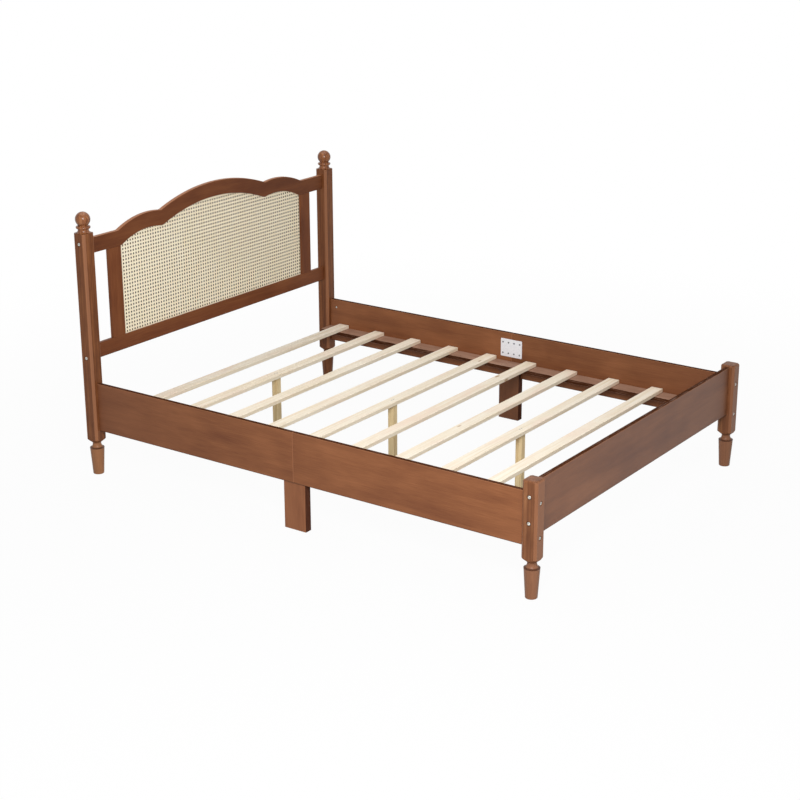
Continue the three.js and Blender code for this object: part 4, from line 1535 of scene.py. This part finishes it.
@dataclass
class CaneWebbing:
    """Six-way woven cane: upright and level pairs, and two ways of diagonals between them.

    The pairs cross at the corners between four holes, and the diagonals cross on the pairs, halfway
    between two holes, so each hole has eight sides.
    """

    headboard: Headboard
    pitch: float = 15.2 * MM
    columns: int = 81
    rows: int = 35
    upright_width: float = 3.8 * MM
    level_width: float = 2.7 * MM
    pair_gap: float = 0.3 * MM
    strand_thickness: float = 0.45 * MM
    diagonal_width: float = 3.2 * MM
    bark_round: float = 0.3  # how far a strand's edges are drawn in, of its half thickness
    pair_wave: float = 0.2 * MM
    diagonal_wave: float = 0.5 * MM
    diagonal_flat: float = 3.1 * MM  # how far it runs straight on either side of a crossing

    def ribbon(self, width: float, path: Sequence[tuple[float, float]], shift: float) -> Piece:
        """Make one repeat of a strand, upright from the origin and open at both ends.

        Args:
            width: The strand's width.
            path: Depth and height of each ring.
            shift: How far the strand lies to the side.

        Returns:
            The strand.
        """
        bpy.ops.mesh.primitive_circle_add(vertices=5, radius=1, fill_type="NGON")
        piece = settle(named("strand"))
        half = self.strand_thickness / 2
        shoulder = -half * self.bark_round
        outline = ((-width / 2, half), (-width / 2, shoulder), (0, -half), (width / 2, shoulder),
                   (width / 2, half))
        depth, height = path[0]
        for vertex, (across, out) in zip(piece.data.vertices, outline):
            vertex.co = (shift + across, depth + out, height)
        with editing(piece):
            bpy.ops.mesh.select_all(action="SELECT")
            for next_depth, next_height in path[1:]:
                bpy.ops.mesh.extrude_region_move(TRANSFORM_OT_translate={
                    "value": (0, next_depth - depth, next_height - height)})
                depth, height = next_depth, next_height
            bpy.ops.mesh.select_all(action="SELECT")
            bpy.ops.mesh.normals_make_consistent(inside=False)
            pick_faces(piece, lambda middle, normal: abs(normal.z) > FACING)
            bpy.ops.mesh.delete(type="ONLY_FACE")
        return piece

    def field(self, strand: Piece, repeats: int, step: Point, lines: int, spread: Point,
              start: Point) -> None:
        """Repeat a strand over the whole panel and close its ends.

        Args:
            strand: One repeat.
            repeats: How many repeats make one strand.
            step: From one repeat to the next.
            lines: How many strands lie side by side.
            spread: From one strand to the next.
            start: Where the first repeat goes.
        """
        spaced = {"use_relative_offset": False, "use_constant_offset": True}
        apply_modifier(
            strand, "ARRAY", **spaced, constant_offset_displace=step, count=repeats,
            use_merge_vertices=True, merge_threshold=1e-5)
        with editing(strand, "EDGE"):
            bpy.ops.mesh.select_all(action="SELECT")
            bpy.ops.mesh.fill_holes(sides=8)
            bpy.ops.mesh.normals_make_consistent(inside=False)
        apply_modifier(
            strand, "ARRAY", **spaced, constant_offset_displace=spread, count=lines)
        strand.location = start
        settle(strand)

    def finish(self, strand: Piece, name: str, along: Along) -> None:
        """Cut a field of strands to the panel and dress it.

        Args:
            strand: The field.
            name: Its name.
            along: The way that its strands run.
        """
        near = self.headboard.cane_front
        far = near + self.headboard.cane_thickness
        outline = self.headboard.panel(
            "outline", self.headboard.groove_depth - 2 * FIT, near, far)
        combine(strand, [outline], Boolean.KEEP, "MANIFOLD")
        rename(strand, name)
        smooth(strand, 50, flat_faces=False)
        deliver(strand, CANE.material(along), "woven_cane", "cane_panel")

    def pair(self, width: float) -> Piece:
        """Make one repeat of a pair of strands that weave over and under the pair they cross.

        Args:
            width: The width of one strand.

        Returns:
            The pair, upright.
        """
        spread = (width + self.pair_gap) / 2
        near, far = -spread, spread
        half = self.pitch / 2
        strands = []
        for side in (-1, 1):
            wave = side * self.pair_wave
            path = [(0, -half), (wave, near), (-wave, far), (0, half)]
            strands.append(self.ribbon(width, path, side * spread))
        return joined(strands)

    def diagonal(self, side: int) -> Piece:
        """Make one repeat of a diagonal strand, from one upright pair to the next.

        Args:
            side: 1 for one that rises to the right, -1 for one that falls.

        Returns:
            The strand, already turned.
        """
        length = self.pitch * math.sqrt(2)
        flat = self.diagonal_flat
        wave = side * self.diagonal_wave
        path = [(wave, 0), (wave, flat), (-wave, length / 2 - flat), (-wave, length / 2 + flat),
                (wave, length - flat), (wave, length)]
        strand = self.ribbon(self.diagonal_width, path, 0)
        strand.rotation_euler = (0, side * math.radians(45), 0)
        return settle(strand)

    def build(self) -> None:
        """Weave the panel."""
        host = self.headboard
        middle = host.middle_y + host.cane_front + host.cane_thickness / 2
        base = host.rail_top
        pitch = self.pitch
        left = -(self.columns - 1) / 2 * pitch

        uprights = self.pair(self.upright_width)
        self.field(uprights, self.rows, (0, 0, pitch), self.columns, (pitch, 0, 0),
                   (left, middle, base))
        self.finish(uprights, "cane_uprights", Along.Z)

        levels = self.pair(self.level_width)
        levels.rotation_euler = (0, math.radians(90), 0)
        settle(levels)
        self.field(levels, self.columns, (pitch, 0, 0), self.rows, (0, 0, pitch),
                   (left, middle, base))
        self.finish(levels, "cane_levels", Along.X)

        lines = self.columns + self.rows
        for side, start, along in (
                (1, left - self.rows * pitch, Along.RISING), (-1, left, Along.FALLING)):
            diagonals = self.diagonal(side)
            self.field(diagonals, self.rows, (side * pitch, 0, pitch), lines, (pitch, 0, 0),
                       (start, middle, base - pitch / 2))
            self.finish(diagonals, f"cane_{along.name.lower()}_diagonals", along)


@dataclass
class Footboard:
    """The plain board between the foot posts."""

    half_width: float = HALF_BAY_X
    middle_y: float = -POST_Y
    thickness: float = 20 * MM
    base: float = FOOTBOARD_BASE
    top: float = 439 * MM
    ease: float = 2 * MM

    def build(self) -> None:
        """Make the footboard."""
        half = self.thickness / 2
        piece = board("footboard_shaped", (-self.half_width, self.middle_y - half, self.base),
                      (self.half_width, self.middle_y + half, self.top), self.ease)
        combine(piece, BOLTS.rail_sockets("bolt_footboard", half), Boolean.CUT)
        smooth(piece)
        deliver(piece, FOOTBOARD_WALNUT.material(Along.X, 20), "stained_wood", "footboard")


@dataclass
class Sides:
    """Each side's two rail halves, ledgers, joining plate and middle leg."""

    rail_middle: float = POST_X
    rail_thickness: float = 20 * MM
    rail_base: float = SIDE_RAIL_BASE
    rail_top: float = 399 * MM
    reach: float = HALF_BAY_Y
    ease: float = 2 * MM
    seam_ease: float = 1.7 * MM
    ledger_edge: float = 700 * MM
    ledger_base: float = 251 * MM
    ledger_top: float = 269 * MM
    ledger_eases: tuple[float, float] = (1.2 * MM, 0.5 * MM)  # of its long edges and its ends
    hole_radius: float = 3 * MM
    hole_flare: float = 0.6 * MM
    hole_inset: float = 15 * MM
    head_hole: float = 13 * MM  # from the seam to a head half's first hole
    foot_hole: float = 52 * MM
    hole_pitch: float = 220 * MM
    hole_count: int = 4
    plate_half_length: float = 55 * MM
    plate_low: float = 289 * MM
    plate_high: float = 371 * MM
    plate_thickness: float = 2.5 * MM
    plate_corner: float = 4 * MM
    plate_ease: float = 0.5 * MM
    plate_columns: int = 4
    plate_pitch: float = 29 * MM
    plate_row_gap: float = 50 * MM
    plate_hole_radius: float = 2.5 * MM
    leg_half_width: float = 51.5 * MM
    leg_outer: float = 790 * MM
    leg_inner: float = 757 * MM
    leg_ease: float = 1.5 * MM

    @property
    def rail_inner(self) -> float:
        """The rail's inner face, from the middle of the bed."""
        return self.rail_middle - self.rail_thickness / 2

    def build_rail(self, word: str, side: int, end_word: str, end: int, seed: float) -> None:
        """Make half of a side rail.

        Args:
            word: Left or right.
            side: -1 for left, 1 for right.
            end_word: Head or foot.
            end: 1 for head, -1 for foot.
            seed: The number of its pattern.
        """
        x0, x1 = span(side, self.rail_inner, self.rail_inner + self.rail_thickness)
        y0, y1 = span(end, FIT / 2, self.reach)
        node = f"side_rail_{word}_{end_word}"
        rail = board(f"{node}_shaped", (x0, y0, self.rail_base), (x1, y1, self.rail_top), self.ease,
                     self.seam_ease)
        sockets = BOLTS.rail_sockets(f"bolt_rail_{word}_{end_word}", self.rail_thickness / 2)
        combine(rail, sockets, Boolean.CUT)
        smooth(rail)
        stain = RAIL_STAINS[word, end_word]
        deliver(rail, stain.material(Along.Y, seed), "stained_wood", node)

    def build_ledger(self, word: str, side: int, end_word: str, end: int, seed: float) -> None:
        """Make one slat ledger with its row of screw holes.

        Args:
            word: Left or right.
            side: -1 for left, 1 for right.
            end_word: Head or foot.
            end: 1 for head, -1 for foot.
            seed: The number of its pattern.
        """
        x0, x1 = span(side, self.ledger_edge, self.rail_inner - FIT)
        y0, y1 = span(end, FIT / 2, self.reach)
        node = f"slat_ledger_{word}_{end_word}"
        ledger = board(f"{node}_shaped", (x0, y0, self.ledger_base), (x1, y1, self.ledger_top),
                       *self.ledger_eases)
        first = self.head_hole if end > 0 else self.foot_hole
        flare = self.hole_radius + self.hole_flare
        holes = []
        for index in range(self.hole_count):
            hole = turned("hole", [
                (self.hole_radius, self.ledger_base - OVERSHOOT),
                (self.hole_radius, self.ledger_top - self.hole_flare),
                (flare, self.ledger_top),
                (flare, self.ledger_top + OVERSHOOT)], 24)
            hole.location = (side * (self.ledger_edge + self.hole_inset),
                             end * (first + index * self.hole_pitch), 0)
            holes.append(settle(hole))
        combine(ledger, holes, Boolean.CUT)
        smooth(ledger)
        deliver(ledger, LEDGER_WALNUT.material(Along.Y, seed), "ledger_wood", node)

    def plate_spots(self) -> list[tuple[float, float]]:
        """List the screws' places.

        Returns:
            The place along the bed and the height of each.
        """
        middle = (self.plate_low + self.plate_high) / 2
        return [
            ((column - (self.plate_columns - 1) / 2) * self.plate_pitch,
             middle + row * self.plate_row_gap / 2)
            for column in range(self.plate_columns) for row in (-1, 1)
        ]

    def build_plate(self, word: str, side: int) -> None:
        """Make the steel plate across the seam, and its screws.

        Args:
            word: Left or right.
            side: -1 for left, 1 for right.
        """
        back = self.rail_inner - FIT
        front = back - self.plate_thickness
        x0, x1 = span(side, front, back)
        plate = block(f"joining_plate_{word}_shaped", (x0, -self.plate_half_length, self.plate_low),
                      (x1, self.plate_half_length, self.plate_high))
        bevel_edges(
            plate, lambda a, b: abs(a.x - b.x) > self.plate_thickness / 2, self.plate_corner, 6)
        soften(plate, self.plate_ease, segments=3)
        depth = self.plate_thickness + OVERSHOOT
        holes = [
            aim(rod("hole", self.plate_hole_radius, -OVERSHOOT, depth, 24), (side * back, y, z),
                (-side, 0, 0))
            for y, z in self.plate_spots()
        ]
        combine(plate, holes, Boolean.CUT)
        smooth(plate)
        deliver(plate, PLATE_ZINC.material(), "zinc_plate", f"joining_plate_{word}")
        screws = joined([
            aim(pan_screw("plate_screw"), (side * front, y, z), (side, 0, 0))
            for y, z in self.plate_spots()])
        screws.name = f"plate_screws_{word}"
        smooth(screws, 40)
        deliver(screws, SCREW_STEEL.material(), "zinc_bolt")

    def build_leg(self, word: str, side: int) -> None:
        """Make the middle leg, which laps up behind the rail.

        Args:
            word: Left or right.
            side: -1 for left, 1 for right.
        """
        x0, x1 = span(side, self.leg_inner, self.leg_outer)
        shoulder = self.rail_base - FIT
        leg = block(f"middle_leg_{word}_shaped", (x0, -self.leg_half_width, 0),
                    (x1, self.leg_half_width, shoulder))
        lap = self.rail_inner - FIT
        with editing(leg):
            bpy.ops.mesh.select_all(action="SELECT")
            bpy.ops.mesh.bisect(plane_co=(side * lap, 0, 0), plane_no=(1, 0, 0))
            pick_faces(leg, lambda middle, normal: normal.z > FACING and abs(middle.x) < lap)
            bpy.ops.mesh.extrude_region_move(TRANSFORM_OT_translate={
                "value": (0, 0, self.ledger_base - FIT - shoulder)})
        face_out(leg)
        soften(leg, self.leg_ease, segments=3)
        smooth(leg)
        deliver(leg, LEG_STAINS[word].material(Along.Z, 40 + side), "stained_wood",
                f"middle_leg_{word}")

    def build(self) -> None:
        """Make both sides."""
        seed = 30.0
        for word, side in ACROSS:
            for end_word, end in LENGTHWISE:
                self.build_rail(word, side, end_word, end, seed)
                self.build_ledger(word, side, end_word, end, seed + 0.5)
                seed += 1
            self.build_plate(word, side)
            self.build_leg(word, side)


@dataclass
class SlatBase:
    """Nine slats, and three legs under the middle of the base."""

    half_length: float = 772 * MM
    width: float = 53 * MM
    base: float = 269.3 * MM
    top: float = 285 * MM
    count: int = 9
    first: float = 936.5 * MM
    pitch: float = 208.375 * MM
    eases: tuple[float, float] = (1.5 * MM, 1.0 * MM)  # of a slat's long edges and its ends
    leg_size: float = 28 * MM
    leg_eases: tuple[float, float] = (1.2 * MM, 0.8 * MM)
    screw_spacing: float = 14 * MM

    def screws(self, y: float, room: float) -> list[Piece]:
        """Make the two countersunk screws over a leg, or the cutters for them.

        Args:
            y: The leg's place along the bed.
            room: The clearance, if they are cutters.

        Returns:
            The two screws.
        """
        found = []
        for side in (-1, 1):
            screw = wood_screw("screw", room)
            screw.location = (side * self.screw_spacing / 2, y, self.top)
            found.append(settle(screw))
        return found

    def build_slat(self, index: int, has_leg: bool) -> None:
        """Make one slat.

        Args:
            index: Its number from the head, from 0 on.
            has_leg: Whether it is screwed to a leg.
        """
        y = self.first - index * self.pitch
        half = self.width / 2
        slat = board(f"slat_{index + 1}_shaped", (-self.half_length, y - half, self.base),
                     (self.half_length, y + half, self.top), *self.eases)
        if has_leg:
            combine(slat, self.screws(y, FIT), Boolean.CUT)
        smooth(slat)
        deliver(slat, SLAT_PINE.material(Along.X, index + 1), "slat_pine", f"slat_{index + 1}")

    def build_leg(self, word: str, index: int) -> None:
        """Make one centre leg and its screws.

        Args:
            word: Head, middle or foot.
            index: The number of the slat over it.
        """
        y = self.first - index * self.pitch
        half = self.leg_size / 2
        leg = board(f"centre_leg_{word}_shaped", (-half, y - half, 0),
                    (half, y + half, self.base - FIT), *self.leg_eases)
        combine(leg, self.screws(y, FIT), Boolean.CUT)
        smooth(leg)
        deliver(leg, LEG_PINE.material(Along.Z, index + 20), "leg_pine", f"centre_leg_{word}")
        for number, screw in enumerate(self.screws(y, 0), 1):
            screw.name = f"slat_screw_{word}_{number}_shaped"
            smooth(screw, 40, flat_faces=False)
            deliver(screw, BOLT_ZINC.material(), "zinc_bolt", f"slat_screw_{word}_{number}")

    def build(self) -> None:
        """Make the slats and their legs."""
        legs = {"head": 1, "middle": 4, "foot": 7}
        for index in range(self.count):
            self.build_slat(index, index in legs.values())
        for word, index in legs.items():
            self.build_leg(word, index)


# Screws and bolts


def cross_recess(width: float, thickness: float, low: float, high: float) -> Piece:
    """Make the cutter for a cross-shaped recess about the Z axis.

    Args:
        width: The length of each of its two bars.
        thickness: Their thickness.
        low: The height of its lower end.
        high: The height of its upper end.

    Returns:
        The cutter.
    """
    bar = block("recess", (-width / 2, -thickness / 2, low), (width / 2, thickness / 2, high))
    other = block("recess", (-thickness / 2, -width / 2, low), (thickness / 2, width / 2, high))
    combine(bar, [other], Boolean.FUSE)
    return bar


def wood_screw(name: str, room: float = 0) -> Piece:
    """Make a countersunk screw with the top of its head at the origin.

    Args:
        name: Its name.
        room: The clearance, if it is the cutter for a screw's hole.

    Returns:
        The screw, pointing down.
    """
    shank, head, length = 2 * MM + room, 4 * MM + room, 46 * MM + room
    tip, point, sink = shank * 0.3, 5 * MM, 3 * MM
    screw = turned(name, [
        (tip, -length), (shank, point - length), (shank, -sink), (head, 0),
        *([(head, room)] if room else [])], 24)
    if not room:
        recess = cross_recess(4.6 * MM, 1.1 * MM, -1.8 * MM, OVERSHOOT)
        combine(screw, [recess], Boolean.CUT)
    return screw


def pan_screw(name: str) -> Piece:
    """Make a pan-head screw with the underside of its head at the origin.

    Args:
        name: Its name.

    Returns:
        The screw, pointing along +Z.
    """
    shank, head, height, length = 2 * MM, 3.9 * MM, 2.1 * MM, 17 * MM
    tip, point, flat, rim = shank * 0.3, 4 * MM, head * 0.55, 0.5 * MM
    screw = turned(name, [
        *arc((flat, -rim), (head - flat, height - rim), -90, 0, 5),
        (head, 0), (shank, 0), (shank, length - point), (tip, length)], 24)
    recess = cross_recess(4.0 * MM, 1.0 * MM, -height - OVERSHOOT, 1.2 * MM - height)
    combine(screw, [recess], Boolean.CUT)
    return screw


@dataclass
class RailBolts:
    """Sixteen socket bolts, each screwed through its barrel nut."""

    head_radius: float = 6.5 * MM
    head_height: float = 5 * MM
    shank_radius: float = 3 * MM
    socket_size: float = 5 * MM  # across the flats
    socket_depth: float = 3 * MM
    nut_radius: float = 5.5 * MM
    slot_half_width: float = 0.6 * MM
    slot_depth: float = 1 * MM
    head_edge: float = 1 * MM  # how far the head's top is rounded
    head_ease: float = 0.3 * MM
    tip_ease: float = 0.6 * MM
    nut_ease: float = 0.7 * MM

    def pattern(self) -> Piece:
        """Make one bolt in its nut.

        Returns:
            The bolt, along +Z, with the underside of its head at the origin.
        """
        reach = POST_SIZE - BOLTS.counterbore_depth + 2 * FIT + BOLTS.nut_setback
        edge = self.head_edge
        bolt = turned("bolt", [
            *arc((self.head_radius - edge, edge - self.head_height), (edge, edge), -90, 0, 4),
            (self.head_radius, -self.head_ease),
            (self.head_radius - self.head_ease, 0),
            (self.shank_radius, 0),
            (self.shank_radius, reach + BOLTS.tip - self.tip_ease),
            (self.shank_radius - self.tip_ease, reach + BOLTS.tip),
        ], 32)
        combine(bolt, [rod("key", self.socket_size / math.sqrt(3), -self.head_height - OVERSHOOT,
                           self.socket_depth - self.head_height, 6)], Boolean.CUT)
        half, ease, deep = BOLTS.nut_length / 2, self.nut_ease, self.slot_depth
        nut = turned("nut", [
            (self.nut_radius - ease, -half), (self.nut_radius, ease - half),
            (self.nut_radius, half - ease), (self.nut_radius - ease, half)], 32)
        slots = [
            block("slot", (-self.nut_radius, -self.slot_half_width, low),
                  (self.nut_radius, self.slot_half_width, high))
            for low, high in ((-half - OVERSHOOT, -half + deep), (half - deep, half + OVERSHOOT))
        ]
        combine(nut, slots, Boolean.CUT)
        nut.rotation_euler = (0, math.pi / 2, 0)
        nut.location = (0, 0, reach)
        combine(bolt, [settle(nut)], Boolean.FUSE)
        return bolt

    def build(self) -> None:
        """Set a bolt in every hole."""
        pattern = self.pattern()
        finish = BOLT_ZINC.material()
        for place in BOLTS.places():
            bolt = copied(pattern, f"{place.node}_shaped")
            aim(bolt, place.point(BOLTS.counterbore_depth - FIT), place.inward)
            smooth(bolt, 40)
            deliver(bolt, finish, "zinc_bolt", place.node)
        bpy.data.objects.remove(pattern)


# The studio


@dataclass(frozen=True)
class Lamp:
    """A soft square lamp that is aimed at a point."""

    name: str
    place: Point
    target: Point
    size: float
    power: float

    def build(self) -> None:
        """Hang the lamp."""
        data = bpy.data.lights.new(self.name, "AREA")
        data.shape = "SQUARE"
        data.size = self.size
        data.energy = self.power
        lamp = bpy.data.objects.new(self.name, data)
        lamp.location = self.place
        ahead = Vector(self.target) - Vector(self.place)
        lamp.rotation_euler = ahead.to_track_quat("-Z", "Y").to_euler()
        bpy.context.scene.collection.objects.link(lamp)


@dataclass
class Studio:
    """The white floor, the lamps and the camera."""

    floor_size: float = 90.0
    floor_level: float = -0.2 * MM
    floor_grey: float = 0.55  # which only the light on the bed sees
    floor_glow: float = 0.96  # how much of the floor by the bed is plain white to the camera
    glow_reach: tuple[float, float] = (1.2, 4.0)  # from the bed's middle to where it is all white
    room_light: float = 0.22
    camera_place: Point = (-5.512, -3.8352, 2.6114)
    camera_tilt: float = 71.039
    camera_turn: float = -54.717
    camera_roll: float = -0.188
    lens: float = 77.204
    sensor: float = 36.0
    far_limit: float = 200.0  # beyond which the camera sees nothing

    lamps: tuple[Lamp, ...] = (
        Lamp("key_lamp", (-3.2, -2.2, 2.5), (0, 0, 0.3), 1.6, 169),
        Lamp("top_lamp", (0.2, 0.9, 5.0), (0, 0.3, 0), 4.5, 93),
    )

    def seen_directly(self, nodes: NodeTree) -> Socket:
        """Tell rays that end in the camera from those that carry light.

        Args:
            nodes: The tree that asks.

        Returns:
            1 for camera, mirror and glass rays, and 0 for the others.
        """
        path = nodes.node("ShaderNodeLightPath")
        total = path.outputs["Is Camera Ray"]
        for name in ("Is Glossy Ray", "Is Transmission Ray"):
            total = nodes.maths("MAXIMUM", total, path.outputs[name])
        return total

    def show(self, nodes: NodeTree, output: str, share: Socket,
             shaders: Sequence[bpy.types.Node]) -> None:
        """Mix two shaders into a tree's output.

        Args:
            nodes: The tree.
            output: The type of its output node.
            share: How much of the second shader there is.
            shaders: The two shaders.
        """
        plain, direct = [shader.outputs[0] for shader in shaders]
        mix = nodes.node("ShaderNodeMixShader", {0: share, 1: plain, 2: direct})
        nodes.node(output, {"Surface": mix.outputs[0]})

    def build_world(self) -> None:
        """Light the room evenly, and show it white."""
        world = bpy.data.worlds.new("studio")
        bpy.context.scene.world = world
        world.use_nodes = True
        nodes = NodeTree(world.node_tree)
        backgrounds = [
            nodes.node("ShaderNodeBackground", {"Color": (1, 1, 1, 1), "Strength": strength})
            for strength in (self.room_light, 1)]
        self.show(nodes, "ShaderNodeOutputWorld", self.seen_directly(nodes), backgrounds)

    def build_floor(self) -> None:
        """Lay a white floor that keeps a faint shadow."""
        bpy.ops.object.select_all(action="DESELECT")
        bpy.ops.mesh.primitive_plane_add(size=self.floor_size, location=(0, 0, self.floor_level))
        floor = settle(named("studio_floor"))
        material = bpy.data.materials.new("floor_white")
        material.use_nodes = True
        nodes = NodeTree(material.node_tree)
        paint = nodes.node("ShaderNodeBsdfDiffuse", {"Color": (*(self.floor_grey,) * 3, 1)})
        glow = nodes.node("ShaderNodeEmission")
        place = nodes.node("ShaderNodeTexCoord").outputs["Object"]
        distance = nodes.node("ShaderNodeVectorMath", {0: place}, operation="LENGTH")
        near, far = self.glow_reach
        fade = nodes.node("ShaderNodeMapRange", {
            "Value": distance.outputs["Value"], "From Min": near, "From Max": far,
            "To Min": self.floor_glow}, interpolation_type="SMOOTHSTEP")
        share = nodes.maths("MULTIPLY", self.seen_directly(nodes), fade.outputs[0])
        self.show(nodes, "ShaderNodeOutputMaterial", share, (paint, glow))
        floor.data.materials.append(material)

    def build_camera(self) -> None:
        """Set the camera where the photograph was taken from."""
        data = bpy.data.cameras.new("camera")
        data.lens = self.lens
        data.sensor_fit = "HORIZONTAL"
        data.sensor_width = self.sensor
        data.clip_end = self.far_limit
        camera = bpy.data.objects.new("camera", data)
        camera.location = self.camera_place
        tilt, turn, roll = [
            math.radians(angle) for angle in (self.camera_tilt, self.camera_turn, self.camera_roll)]
        aimed = Euler((tilt, 0, turn)).to_matrix() @ Matrix.Rotation(roll, 3, "Z")
        camera.rotation_euler = aimed.to_euler()
        bpy.context.scene.collection.objects.link(camera)
        bpy.context.scene.camera = camera

    def build(self) -> None:
        """Set up the studio."""
        bpy.context.scene.view_settings.view_transform = "Standard"
        self.build_camera()
        self.build_world()
        self.build_floor()
        for lamp in self.lamps:
            lamp.build()


def main() -> None:
    """Build the bed piece by piece in its studio."""
    logging.basicConfig(level=logging.INFO, format="%(message)s")
    Studio().build()
    headboard = Headboard()
    for assembly in (
            Posts(), Finials(), headboard, CaneWebbing(headboard), Footboard(), Sides(),
            SlatBase(), RailBolts()):
        assembly.build()


if __name__ == "__main__":
    main()
